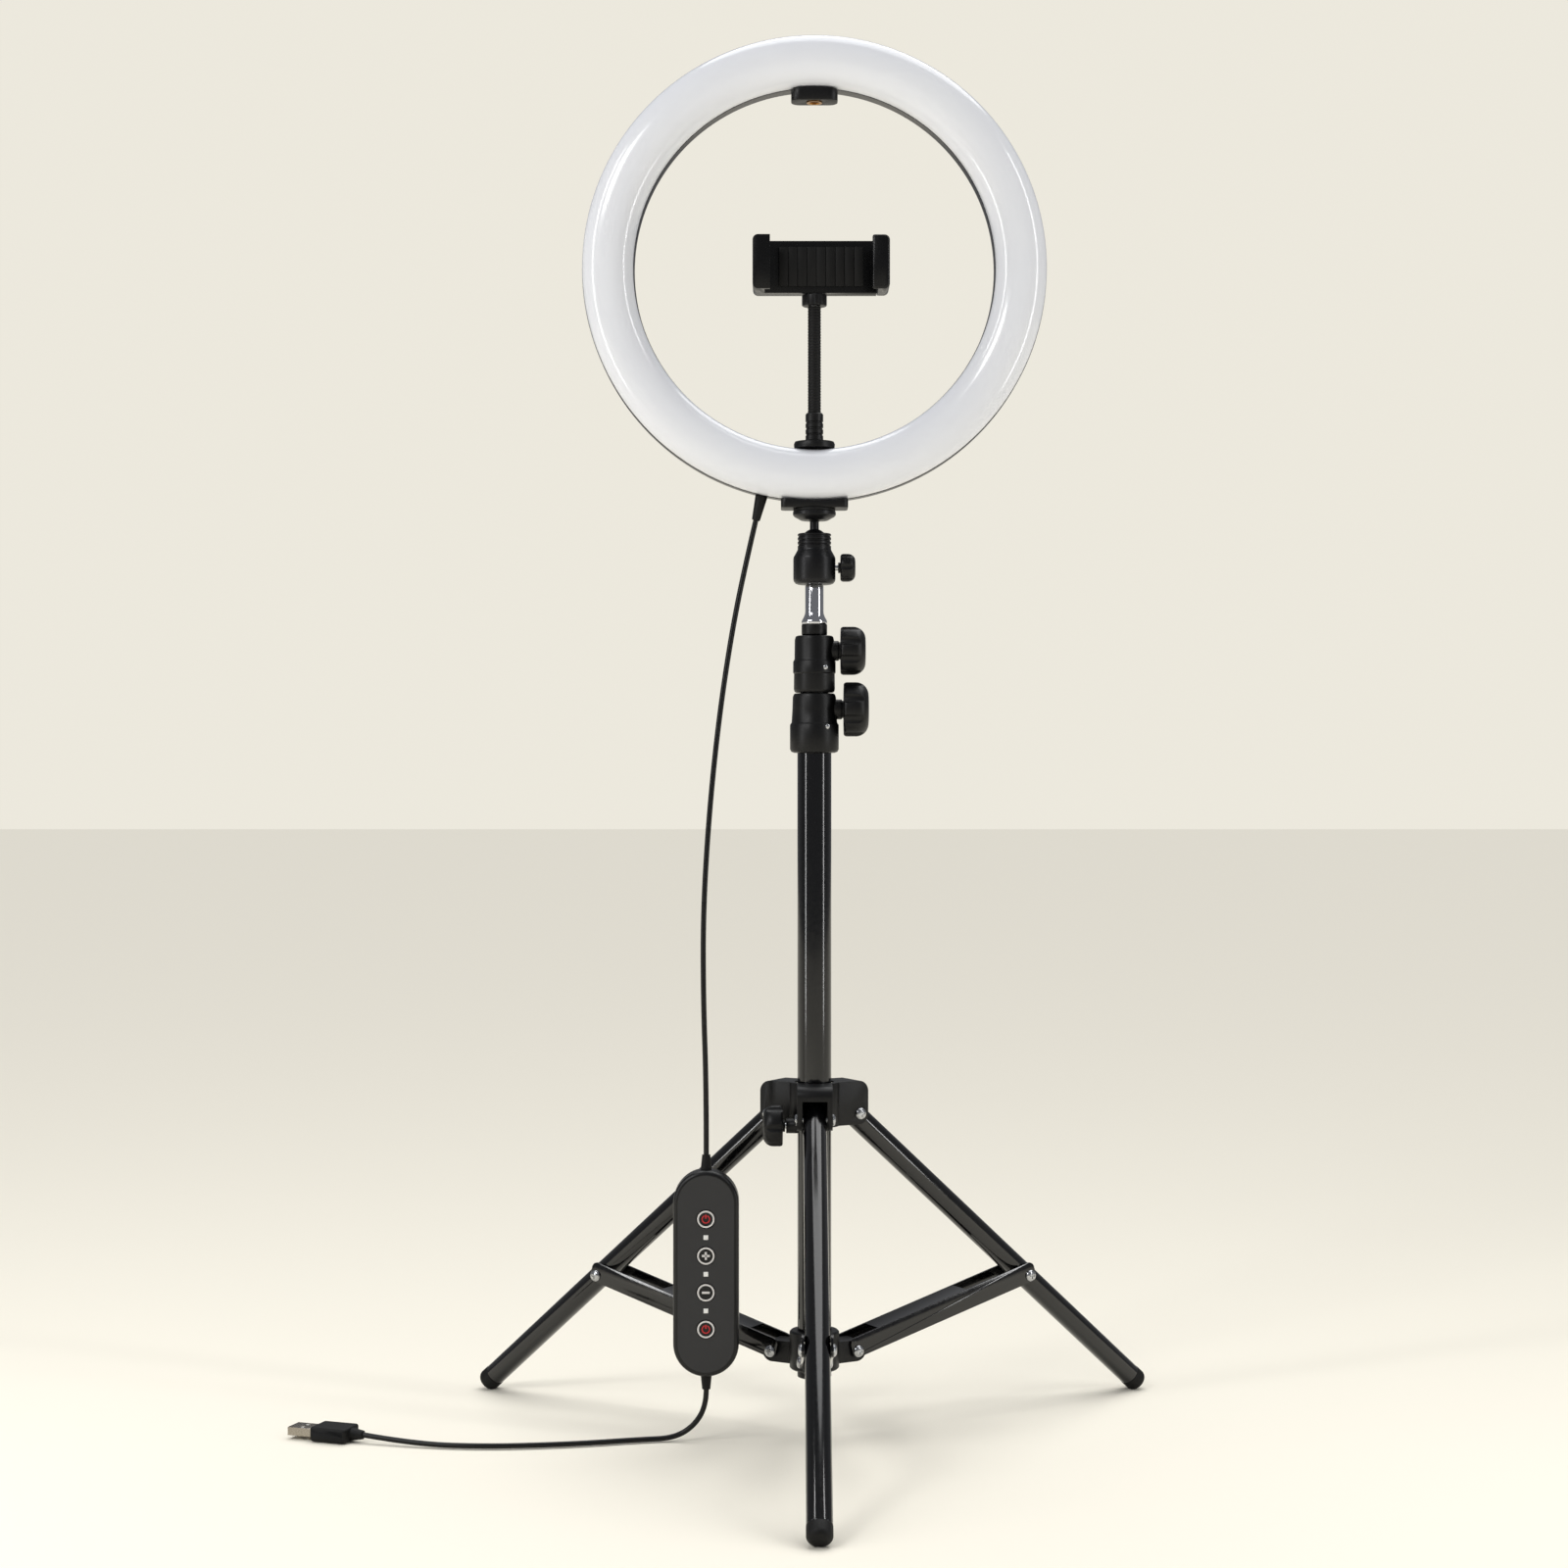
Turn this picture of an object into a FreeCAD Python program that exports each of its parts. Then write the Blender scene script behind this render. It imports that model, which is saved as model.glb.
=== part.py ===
"""Ring light on a folding stand: one STEP file per piece.

Millimetres, +Z up.  The origin is on the stand's column axis, at the level of
the floor.  -Y is the front, where the light shines, and +X is to the right of
someone facing the light.
"""
import FreeCAD
import Part
import math
import os

V = FreeCAD.Vector
UP = V(0, 0, 1)

# ---- ring light head -------------------------------------------------------
RING_Z = 651.0           # height of the ring's centre
RING_R = 130.0           # outer radius of the ring, a 10-inch class light
HOLE_R = 101.0           # radius of the ring's hole
RING_JOIN_Y = -1.0       # plane where diffuser and rear housing meet
DOME_Y = -16.0           # front crown of the diffuser
BACK_Y = 12.0            # rear face of the housing
SKIN = 2.0               # housing wall
DIFFUSER_SKIN = 1.6
CHIPS_PER_ROW = 30

# ---- ball head and spigot --------------------------------------------------
BALL_Z = 498.4
BALL_R = 7.5
SEAT_GAP = 0.05
SEAT_BASE = 487.5
SEAT_TOP = 495.5
BALL_STEM_R = 2.5
HOUSING_TOP = 503.0
HOUSING_BASE = 474.7
BALL_KNOB_Z = 484.0
PLATFORM_R = 12.0
PLATFORM_BASE = 510.5
PLATFORM_TOP = 517.0
SPIGOT_R = 5.1
SPIGOT_BASE = 452.5
STUD_R = 3.1             # quarter-inch tripod thread, as a plain stud

# ---- telescopic mast -------------------------------------------------------
COLUMN_R = 9.5
COLUMN_BORE = 8.6
COLUMN_BASE = 36.0
COLUMN_TOP = 400.0
MIDDLE_R = 7.9
MIDDLE_BORE = 7.1
MIDDLE_TOP = 432.0
INNER_R = 6.4
INNER_BORE = 5.6
INNER_TOP = 446.2
MIDDLE_BASE = 62.0       # foot of the middle tube and of its bush
INNER_BASE = 84.0        # foot of the inner tube and of its bush
BUSH_LONG = 16.0
RUN_FIT = 0.08           # radial running clearance

# ---- clamps and their knobs ------------------------------------------------
LOWER_CLAMP = dict(r=13.65, base=380.0, top=413.7, knob_z=404.75, knob_r=15.2)
UPPER_CLAMP = dict(r=11.9, base=414.0, top=446.0, knob_z=437.5, knob_r=13.5)
KNOB_THICK = 14.0
SCREW_R = 2.5
SCREW_HOLE_R = 1.75       # small lock screws, as on the hub and the ball head

# ---- tripod ----------------------------------------------------------------
LEG_HEADINGS = (270, 30, 150)
LEG_R = 6.5
HUB_PIN_R = 24.5         # hub hinge pin, distance from the column axis
HUB_PIN_Z = 178.0
LEG_LEAN = 49.05         # degrees from the vertical, legs spread
LEG_END = 258.8          # end of the leg's tube, from its hinge pin
FOOT_LENGTH = 8.6
COLLAR_PIN_R = 24.0
COLLAR_PIN_Z = 44.5
LEG_PIN_AT = 155.6       # brace bolt, from the hinge pin along the leg
HUB_BASE = 172.0
HUB_TOP = 196.5
HUB_REACH = 29.5
HUB_KNOB_R = 11.4
HUB_KNOB_THICK = 11.0
HUB_KNOB_AT = (-17.6, -14.6, 173.6)
HUB_BOSS = (-15.8, -9.0) # both ends of the boss under the hub knob, along X
HUB_SCREW_END = -11.2
FORK_IN = 6.9            # half the gap between two side plates
FORK_OUT = 9.8
PIN_R = 1.6
BOLT_HEAD_R = 3.2
BOLT_HEAD = 1.8
BRACE_SHEET = 1.2
BRACE_TOP = 7.8          # upper edge above the line of its pins, clear of a folded leg
BRACE_END = 3.6          # how far the plates reach below and past the pins
BRACE_WEB = (16.0, 78.0) # where the channel's web starts and ends, from the collar
COLLAR_R = 13.9
COLLAR_TOP = 57.6

# ---- phone holder ----------------------------------------------------------
NECK_R = 3.65
NECK_JOINTS = (571.0, 593.0, 615.0)
NECK_GAP = 0.5           # half the gap at each bend point
NECK_TOP = 630.0
HOLDER_LEFT = -34.4
HOLDER_RIGHT = 34.7
HOLDER_BASE = 637.0
HOLDER_TOP = 666.0
JAW_TOP = 667.0
JAW_CORNER = 3.0
JAW_WIDE = 6.6
JAW_FRONT = -19.0
HOLDER_HALF_DEEP = 5.0
PAD = 1.2

# ---- hand controller on the lead -------------------------------------------
CTRL_X = -60.0
CTRL_Y = -18.0
CTRL_Z = 93.25
CTRL_HALF_WIDE = 18.1
CTRL_HALF_TALL = 56.75
CTRL_HALF_DEEP = 7.5
CTRL_SKIN = 1.6
BUTTON_PITCH = 20.2
BUTTON_R = 5.0

# ---- lead ------------------------------------------------------------------
LEAD_R = 1.5
BOOT_X = -29.6           # where the lead's boot leaves the ring
BOOT_Y = 2.0
BOOT_LONG = 14.0
LEAD_START_GAP = 1.1
UPPER_ROUTE = [
    (-37.4, 2.0, 491.2),
    (-45.5, -2.0, 452.0),
    (-53.0, -7.0, 402.0),
    (-58.5, -12.0, 348.0),
    (-61.8, -15.5, 293.0),
    (-61.6, -17.4, 242.0),
    (-60.0, -18.0, 197.0),
    (-60.0, -18.0, 158.0),
]
LOWER_ROUTE = [
    (-60.0, -18.0, 28.5),
    (-60.0, -18.0, 19.5),
    (-66.6, -18.2, 8.1),
    (-78.0, -19.0, 1.5),
    (-97.0, -22.5, 1.5),
    (-133.0, -32.5, 1.5),
    (-178.0, -38.0, 1.5),
    (-218.0, -33.0, 1.5),
    (-249.0, -22.0, 4.0),
]
USB_SHELL = (15.0, 12.0, 4.5)
USB_BODY = (22.0, 17.0, 8.0)
USB_RELIEF = 7.0


# ---- helpers ---------------------------------------------------------------
def block(x0, x1, y0, y1, z0, z1):
    """A box from its six faces."""
    return Part.makeBox(x1 - x0, y1 - y0, z1 - z0, V(x0, y0, z0))


def rod(r, start, end):
    """A round bar between two points."""
    a = V(*start)
    along = V(*end).sub(a)
    return Part.makeCylinder(r, along.Length, a, along)


def post(r, z0, z1, x=0.0, y=0.0):
    """An upright round bar."""
    return Part.makeCylinder(r, z1 - z0, V(x, y, z0), UP)


def sleeve(r_out, r_in, z0, z1):
    """An upright tube on the column axis."""
    return post(r_out, z0, z1).cut(post(r_in, z0 - 1, z1 + 1))


def turned(points):
    """Revolve a closed outline of (r, z) points about the column axis."""
    corners = [V(r, 0, z) for r, z in points]
    face = Part.Face(Part.makePolygon(corners + corners[:1]))
    return face.revolve(V(0, 0, 0), UP, 360)


def ring_turned(edges):
    """Revolve edges drawn in the plane of radius (x) and depth (y) about the ring's axis."""
    face = Part.Face(Part.Wire(Part.__sortEdges__(edges)))
    solid = face.revolve(V(0, 0, 0), V(0, 1, 0), 360)
    solid.translate(V(0, 0, RING_Z))
    return solid


def line(a, b):
    """A straight edge between two (x, y) points."""
    return Part.LineSegment(V(a[0], a[1], 0), V(b[0], b[1], 0)).toShape()


def arc(a, b, c):
    """An arc through three (x, y) points."""
    return Part.Arc(V(a[0], a[1], 0), V(b[0], b[1], 0), V(c[0], c[1], 0)).toShape()


def chain(points):
    """Straight edges round a closed list of (x, y) points."""
    return [line(a, b) for a, b in zip(points, points[1:] + points[:1])]


def to_heading(shape, heading):
    """A copy of a shape drawn along +X, turned about the column axis."""
    copy = shape.copy()
    copy.rotate(V(0, 0, 0), UP, heading)
    return copy


def leg_point(along, off=0.0):
    """Point in the X-Z plane at a distance along the leg and off its line, spread."""
    lean = math.radians(LEG_LEAN)
    x = HUB_PIN_R + along * math.sin(lean) + off * math.cos(lean)
    z = HUB_PIN_Z - along * math.cos(lean) + off * math.sin(lean)
    return x, 0.0, z


def grouped(shapes):
    """Several separate solids in one node."""
    return Part.makeCompound(shapes)


def cord(points, r, name):
    """A tube along straight runs joined by tangent arcs, and its printed radii."""
    corners = [V(*p) for p in points]
    edges = []
    radii = []
    last = corners[0]
    for before, corner, after in zip(corners, corners[1:], corners[2:]):
        back = before.sub(corner)
        ahead = after.sub(corner)
        turn = math.pi - back.getAngle(ahead)
        trim = 0.45 * min(back.Length, ahead.Length)
        radii.append(trim / math.tan(turn / 2))
        back.normalize()
        ahead.normalize()
        start = corner.add(back * trim)
        end = corner.add(ahead * trim)
        bisect = back.add(ahead)
        bisect.normalize()
        reach = radii[-1] * (1 / math.cos(turn / 2) - 1)
        edges.append(Part.LineSegment(last, start).toShape())
        edges.append(Part.Arc(start, corner.add(bisect * reach), end).toShape())
        last = end
    edges.append(Part.LineSegment(last, corners[-1]).toShape())
    path = Part.Wire(edges)
    first = corners[1].sub(corners[0])
    ring = Part.Wire(Part.makeCircle(r, corners[0], first))
    tube = path.makePipeShell([ring], True, True, 1)
    section = math.pi * r * r
    print(name, "length", round(path.Length, 1), "radii", [round(v, 1) for v in radii])
    print(name, "volume", round(tube.Volume, 1), "expected", round(section * path.Length, 1))
    return tube


def lobed_knob(radius, thick, lobes, notch):
    """A round knob on +X from x = 0, domed outside, with scallops round its rim."""
    body = Part.makeCylinder(radius, thick, V(0, 0, 0), V(1, 0, 0))
    rim = [e for e in body.Edges if abs(e.CenterOfMass.x - thick) < 0.01]
    body = body.makeFillet(3.0, rim[:1])
    for i in range(lobes):
        turn = math.radians(360 * (i + 0.5) / lobes)
        y = (radius + notch * 0.55) * math.cos(turn)
        z = (radius + notch * 0.55) * math.sin(turn)
        body = body.cut(Part.makeCylinder(notch, thick + 2, V(-1, y, z), V(1, 0, 0)))
    return body


# ---- ring light ------------------------------------------------------------
def rear_housing():
    """Black moulded channel behind the light, closed at the back."""
    j = RING_JOIN_Y
    b = BACK_Y
    bend = 4.0
    s = bend * (1 - math.sqrt(0.5))
    out = [
        line((RING_R, j), (RING_R, b - bend)),
        arc((RING_R, b - bend), (RING_R - s, b - s), (RING_R - bend, b)),
        line((RING_R - bend, b), (HOLE_R + bend, b)),
        arc((HOLE_R + bend, b), (HOLE_R + s, b - s), (HOLE_R, b - bend)),
        line((HOLE_R, b - bend), (HOLE_R, j)),
        line((HOLE_R, j), (HOLE_R + SKIN, j)),
        line((HOLE_R + SKIN, j), (HOLE_R + SKIN, b - SKIN)),
        line((HOLE_R + SKIN, b - SKIN), (RING_R - SKIN, b - SKIN)),
        line((RING_R - SKIN, b - SKIN), (RING_R - SKIN, j)),
        line((RING_R - SKIN, j), (RING_R, j)),
    ]
    shell = ring_turned(out)
    for shaft, _ in screw_places():
        shell = shell.cut(shaft)
    return shell


def diffuser():
    """White domed front cover with a tongue inside the housing's walls."""
    j = RING_JOIN_Y
    t = DIFFUSER_SKIN
    mid = (RING_R + HOLE_R) / 2
    shoulder = -4.0
    tongue = 3.0
    o = RING_R - SKIN - 0.1
    i = HOLE_R + SKIN + 0.1
    outline = [
        arc((RING_R - 0.3, shoulder), (mid, DOME_Y), (HOLE_R + 0.3, shoulder)),
        line((HOLE_R + 0.3, shoulder), (HOLE_R + 0.3, j)),
        line((HOLE_R + 0.3, j), (i, j)),
        line((i, j), (i, tongue)),
        line((i, tongue), (i + t, tongue)),
        line((i + t, tongue), (i + t, shoulder)),
        arc((i + t, shoulder), (mid, DOME_Y + t + 0.6), (o - t, shoulder)),
        line((o - t, shoulder), (o - t, tongue)),
        line((o - t, tongue), (o, tongue)),
        line((o, tongue), (o, j)),
        line((o, j), (RING_R - 0.3, j)),
        line((RING_R - 0.3, j), (RING_R - 0.3, shoulder)),
    ]
    return ring_turned(outline)


def led_board():
    """Annular circuit board on the inside of the housing's back wall."""
    y = BACK_Y - SKIN
    board = ring_turned(chain([(106, y - 1.6), (125, y - 1.6), (125, y), (106, y)]))
    for shaft, _ in screw_places():
        board = board.cut(shaft)
    return board


def led_chips():
    """Two rows of light-emitting chips facing the diffuser."""
    y = BACK_Y - SKIN - 1.6
    chips = []
    for row, radius in enumerate((110.5, 120.5)):
        for i in range(CHIPS_PER_ROW):
            chip = block(radius - 1.4, radius + 1.4, y - 0.8, y, -1.75, 1.75)
            turn = 360 * (i + 0.5 * row) / CHIPS_PER_ROW + 3
            chip.rotate(V(0, 0, 0), V(0, 1, 0), turn)
            chip.translate(V(0, 0, RING_Z))
            chips.append(chip)
    return grouped(chips)


def screw_places():
    """Shaft and head of each screw that holds the board and the back together."""
    places = []
    for i in range(6):
        turn = math.radians(60 * i)
        x = 115.5 * math.cos(turn)
        z = RING_Z + 115.5 * math.sin(turn)
        shaft = rod(1.25, (x, BACK_Y - 4.5, z), (x, BACK_Y, z))
        head = rod(2.8, (x, BACK_Y, z), (x, BACK_Y + 1.4, z))
        places.append((shaft, head))
    return places


def housing_screws():
    """Screws in the back of the housing."""
    return grouped([shaft.fuse(head) for shaft, head in screw_places()])


def hole_core():
    """The round space inside the ring's hole."""
    return rod(HOLE_R, (0, -60, RING_Z), (0, 60, RING_Z))


def ring_core():
    """The round space that the whole ring fills."""
    return rod(RING_R, (0, -60, RING_Z), (0, 60, RING_Z))


def top_boss():
    """Moulded boss under the top of the ring, round the threaded insert."""
    base = RING_Z + HOLE_R - 7.5
    boss = block(-13, 13, -7, 7, base, base + 12)
    corners = [e for e in boss.Edges if abs(e.Vertexes[0].Z - e.Vertexes[-1].Z) > 1]
    boss = boss.makeFillet(5.0, corners)
    return boss.common(hole_core()).cut(post(4.35, base - 1, base + 7))


def brass_insert():
    """Threaded brass insert in the top boss."""
    base = RING_Z + HOLE_R - 8.0
    return post(4.35, base, base + 7).cut(post(2.6, base - 1, base + 8))


def base_bracket():
    """Foot of the ring that stands on the ball head's platform."""
    plate = block(-18.75, 18.75, -10, 11, PLATFORM_TOP, 526)
    corners = [e for e in plate.Edges if abs(e.Vertexes[0].Z - e.Vertexes[-1].Z) > 1]
    plate = plate.makeFillet(3.0, corners)
    return plate.cut(ring_core()).cut(post(STUD_R, 510, 530))


def boot_axis():
    """Start and outward direction of the lead's boot."""
    depth = math.sqrt(RING_R ** 2 - BOOT_X ** 2)
    start = V(BOOT_X, BOOT_Y, RING_Z - depth)
    out = V(BOOT_X, 0, -depth)
    out.normalize()
    return start, out


def lead_boot():
    """Tapered strain relief where the lead leaves the ring."""
    start, out = boot_axis()
    inside = start.sub(out * 3)
    cone = Part.makeCone(3.7, 2.3, BOOT_LONG + 3, inside, out)
    return cone.cut(ring_core())


def neck_ferrule():
    """Flange and ferrule that hold the gooseneck on the ring."""
    flange = post(11.5, 548, 554.7).common(hole_core())
    ferrule = post(4.95, 554.7, NECK_JOINTS[0] - NECK_GAP)
    return flange.fuse(ferrule)


# ---- ball head -------------------------------------------------------------
def ball_housing():
    """Housing of the ball head, with a ribbed neck and a spherical mouth."""
    rib = []
    z = 494.2
    for _ in range(4):
        rib += [(9.35, z), (9.35, z + 1.3), (8.95, z + 1.5), (8.95, z + 1.9)]
        z += 2.1
    bore = STUD_R + RUN_FIT
    outline = [(0, 482.4), (bore, 482.4), (bore, HOUSING_BASE), (9.8, HOUSING_BASE)]
    outline += [(11.8, 476.7), (11.8, 489.5)]
    outline += rib
    outline += [(9.35, HOUSING_TOP), (0, HOUSING_TOP)]
    body = turned(outline)
    seat = Part.makeSphere(BALL_R + SEAT_GAP, V(0, 0, BALL_Z))
    body = body.cut(seat).cut(post(BALL_R + SEAT_GAP, SEAT_BASE, BALL_Z))
    return body.cut(rod(SCREW_HOLE_R, (5, 0, BALL_KNOB_Z), (13, 0, BALL_KNOB_Z)))


def ball_seat():
    """Nylon cup under the ball."""
    cup = post(BALL_R, SEAT_BASE, SEAT_TOP)
    return cup.cut(Part.makeSphere(BALL_R + SEAT_GAP, V(0, 0, BALL_Z)))


def ball_stud():
    """Ball, stem, platform and its screw, in one turned piece."""
    ball = Part.makeSphere(BALL_R, V(0, 0, BALL_Z))
    stem = post(BALL_STEM_R, BALL_Z, PLATFORM_BASE)
    cone = Part.makeCone(8.0, PLATFORM_R, 2.5, V(0, 0, PLATFORM_BASE), UP)
    disc = post(PLATFORM_R, PLATFORM_BASE + 2.5, PLATFORM_TOP)
    screw = post(STUD_R, PLATFORM_TOP, RING_Z - RING_R - 0.2)
    return ball.fuse([stem, cone, disc, screw]).removeSplitter()


def ball_knob():
    """Lock knob of the ball head with its screw."""
    knob = lobed_knob(7.8, 8.4, 6, 2.2)
    knob.translate(V(14.5, 0, BALL_KNOB_Z))
    return knob.fuse(rod(1.65, (6, 0, BALL_KNOB_Z), (15, 0, BALL_KNOB_Z)))


def spigot():
    """Plated spigot on the mast, with a stud at each end."""
    flare = Part.makeCone(7.1, SPIGOT_R, 6.5, V(0, 0, SPIGOT_BASE), UP)
    shaft = post(SPIGOT_R, SPIGOT_BASE + 6.5, 474.5)
    studs = post(STUD_R, 474.5, 481.5)
    return flare.fuse([shaft, studs, post(3.0, 444, SPIGOT_BASE)]).removeSplitter()


# ---- mast ------------------------------------------------------------------
def inner_tube():
    """Innermost tube, closed by the cap that carries the spigot."""
    tube = sleeve(INNER_R, INNER_BORE, INNER_BASE, INNER_TOP)
    cap = post(7.15, INNER_TOP, SPIGOT_BASE).fuse(post(INNER_BORE, 436, INNER_TOP))
    return tube.fuse(cap).removeSplitter().cut(post(3.0, 444, SPIGOT_BASE + 1))


def clamp(size, tube_r, tube_top, throat_r):
    """Clamp on top of a tube, with a throat for the next tube and a boss for its knob."""
    z = size["knob_z"]
    body = post(size["r"], size["base"], size["top"])
    ends = [e for e in body.Edges if e.Length > 50]
    body = body.makeChamfer(1.2, ends)
    boss = rod(5.4, (6, 0, z), (size["r"] + 1.8, 0, z))
    body = body.fuse(boss).removeSplitter()
    body = body.cut(post(throat_r + RUN_FIT, size["base"] - 1, size["top"] + 1))
    body = body.cut(post(tube_r, size["base"] - 1, tube_top))
    return body.cut(rod(SCREW_R + RUN_FIT, (5, 0, z), (20, 0, z)))


def clamp_knob(size, tube_r):
    """Clamp knob with its screw."""
    knob = lobed_knob(size["knob_r"], KNOB_THICK, 8, 3.4)
    inner = size["r"] + 2.7
    knob.translate(V(inner, 0, size["knob_z"]))
    z = size["knob_z"]
    return knob.fuse(rod(SCREW_R, (tube_r + 0.3, 0, z), (inner + 1, 0, z)))


# ---- tripod ----------------------------------------------------------------
def column_end_cap():
    """Plug in the foot of the column."""
    cap = post(COLUMN_R, COLUMN_BASE - 4.5, COLUMN_BASE)
    return cap.fuse(post(COLUMN_BORE, COLUMN_BASE, COLUMN_BASE + 12)).removeSplitter()


def lower_collar():
    """Collar at the foot of the column with three lugs for the braces."""
    body = post(COLLAR_R, COLUMN_BASE, COLLAR_TOP)
    body = body.makeChamfer(1.0, [e for e in body.Edges if e.Length > 50])
    x = COLLAR_PIN_R
    z = COLLAR_PIN_Z
    lug = block(8, x, -6.5, 6.5, z - 6, z + 6).fuse(rod(6, (x, -6.5, z), (x, 6.5, z)))
    for heading in LEG_HEADINGS:
        body = body.fuse(to_heading(lug, heading))
    for heading in LEG_HEADINGS:
        body = body.cut(to_heading(rod(PIN_R, (x, -9, z), (x, 9, z)), heading))
    return body.removeSplitter().cut(post(COLUMN_R, 30, 60))


def bolt(x, z, half):
    """Hinge bolt across a fork, with a head at each end."""
    shaft = rod(PIN_R, (x, -half - 0.2, z), (x, half + 0.2, z))
    left = rod(BOLT_HEAD_R, (x, -half - 0.2 - BOLT_HEAD, z), (x, -half - 0.2, z))
    right = rod(BOLT_HEAD_R, (x, half + 0.2, z), (x, half + 0.2 + BOLT_HEAD, z))
    return shaft.fuse([left, right]).removeSplitter()


def bolts(x, z, half):
    """One hinge bolt at each leg's heading."""
    return grouped([to_heading(bolt(x, z, half), h) for h in LEG_HEADINGS])


def hub():
    """Sliding hub with three forks that hold the legs."""
    body = post(14.2, HUB_BASE, HUB_TOP)
    arm = block(8, HUB_REACH, -FORK_OUT, FORK_OUT, HUB_BASE, HUB_TOP)
    tip = [
        e for e in arm.Edges
        if abs(e.CenterOfMass.x - HUB_REACH) < 0.01 and abs(e.CenterOfMass.y) < 0.01
    ]
    arm = arm.makeFillet(6.0, tip)
    slot = block(15.0, HUB_REACH + 5, -FORK_IN, FORK_IN, HUB_BASE - 5, HUB_PIN_Z + 10.4)
    for heading in LEG_HEADINGS:
        body = body.fuse(to_heading(arm, heading))
    for heading in LEG_HEADINGS:
        body = body.cut(to_heading(slot, heading))
        hole = rod(PIN_R, (HUB_PIN_R, -12, HUB_PIN_Z), (HUB_PIN_R, 12, HUB_PIN_Z))
        body = body.cut(to_heading(hole, heading))
    _, y, z = HUB_KNOB_AT
    boss = rod(4.2, (HUB_BOSS[0], y, z), (HUB_BOSS[1], y, z))
    body = body.fuse(boss).removeSplitter()
    body = body.cut(rod(SCREW_HOLE_R, (HUB_BOSS[0] - 1, y, z), (HUB_SCREW_END + 0.4, y, z)))
    return body.cut(post(11.0, 160, 200))


def hub_knob():
    """Lock knob on the front left of the hub, with its screw in the hub's boss."""
    x, y, z = HUB_KNOB_AT
    knob = lobed_knob(HUB_KNOB_R, HUB_KNOB_THICK, 6, 2.8)
    knob.rotate(V(0, 0, 0), UP, 180)
    knob.translate(V(x, y, z))
    return knob.fuse(rod(SCREW_HOLE_R - 0.1, (x - 1, y, z), (HUB_SCREW_END, y, z)))


def leg_tube():
    """Leg tube along +X, open at both ends, with holes for its hinge bolt."""
    out = rod(LEG_R, leg_point(-7), leg_point(LEG_END))
    bore = rod(LEG_R - 1, leg_point(-9), leg_point(LEG_END + 2))
    hole = rod(PIN_R + 0.06, (HUB_PIN_R, -9, HUB_PIN_Z), (HUB_PIN_R, 9, HUB_PIN_Z))
    return out.cut(bore).cut(hole)


def foot_cap():
    """Rubber end plug of a leg, with a small flat to stand on."""
    r = LEG_R + 0.1
    bend = 3.5
    s = bend * (1 - math.sqrt(0.5))
    long = FOOT_LENGTH
    outline = [
        Part.LineSegment(V(0, 0, 0), V(r, 0, 0)).toShape(),
        Part.LineSegment(V(r, 0, 0), V(r, 0, long - bend)).toShape(),
        Part.Arc(V(r, 0, long - bend), V(r - s, 0, long - s), V(r - bend, 0, long)).toShape(),
        Part.LineSegment(V(r - bend, 0, long), V(0, 0, long)).toShape(),
        Part.LineSegment(V(0, 0, long), V(0, 0, 0)).toShape(),
    ]
    head = Part.Face(Part.Wire(outline)).revolve(V(0, 0, 0), UP, 360)
    head = head.fuse(post(LEG_R - 1, -14, 0)).removeSplitter()
    head.rotate(V(0, 0, 0), V(0, 1, 0), 180 - LEG_LEAN)
    head.translate(V(*leg_point(LEG_END)))
    return head.common(block(100, 300, -20, 20, 0, 100))


def brace_angle():
    """Slope and length of a brace, legs spread."""
    x, _, z = leg_point(LEG_PIN_AT)
    dx = x - COLLAR_PIN_R
    dz = z - COLLAR_PIN_Z
    return math.degrees(math.atan2(dz, dx)), math.hypot(dx, dz)


def brace():
    """Pressed channel from the collar to a leg, open towards the leg's foot."""
    slope, reach = brace_angle()
    web = BRACE_WEB
    top = BRACE_TOP
    half = FORK_IN + BRACE_SHEET
    end = BRACE_END
    out = block(-end, reach + end, -half, half, -end, top)
    ends = [
        e for e in out.Edges
        if abs(e.CenterOfMass.y) < 0.01 and abs(e.CenterOfMass.x - reach / 2) > reach / 2
    ]
    out = out.makeFillet(end - 0.1, ends)
    gap = block(-9, web[0], -FORK_IN, FORK_IN, -9, 12)
    out = out.cut(block(-9, reach + 9, -FORK_IN, FORK_IN, -9, top - BRACE_SHEET)).cut(gap)
    out = out.cut(block(web[1], reach + 9, -FORK_IN, FORK_IN, -9, 12))
    out = out.cut(rod(PIN_R + 0.06, (0, -12, 0), (0, 12, 0)))
    out.rotate(V(0, 0, 0), V(0, 1, 0), -slope)
    out.translate(V(COLLAR_PIN_R, 0, COLLAR_PIN_Z))
    return out


# ---- phone holder ----------------------------------------------------------
def neck_segment(index):
    """One stretch of the gooseneck between two bend points."""
    base = NECK_JOINTS[index] + NECK_GAP
    last = index == len(NECK_JOINTS) - 1
    top = NECK_TOP if last else NECK_JOINTS[index + 1] - NECK_GAP
    segment = post(NECK_R, base, top)
    return segment.fuse(post(2.5, top, 642.4)) if last else segment


def holder_nut():
    """Lock nut under the phone holder."""
    return sleeve(7.0, 2.6, NECK_TOP + 0.3, HOLDER_BASE - 0.3)


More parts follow.
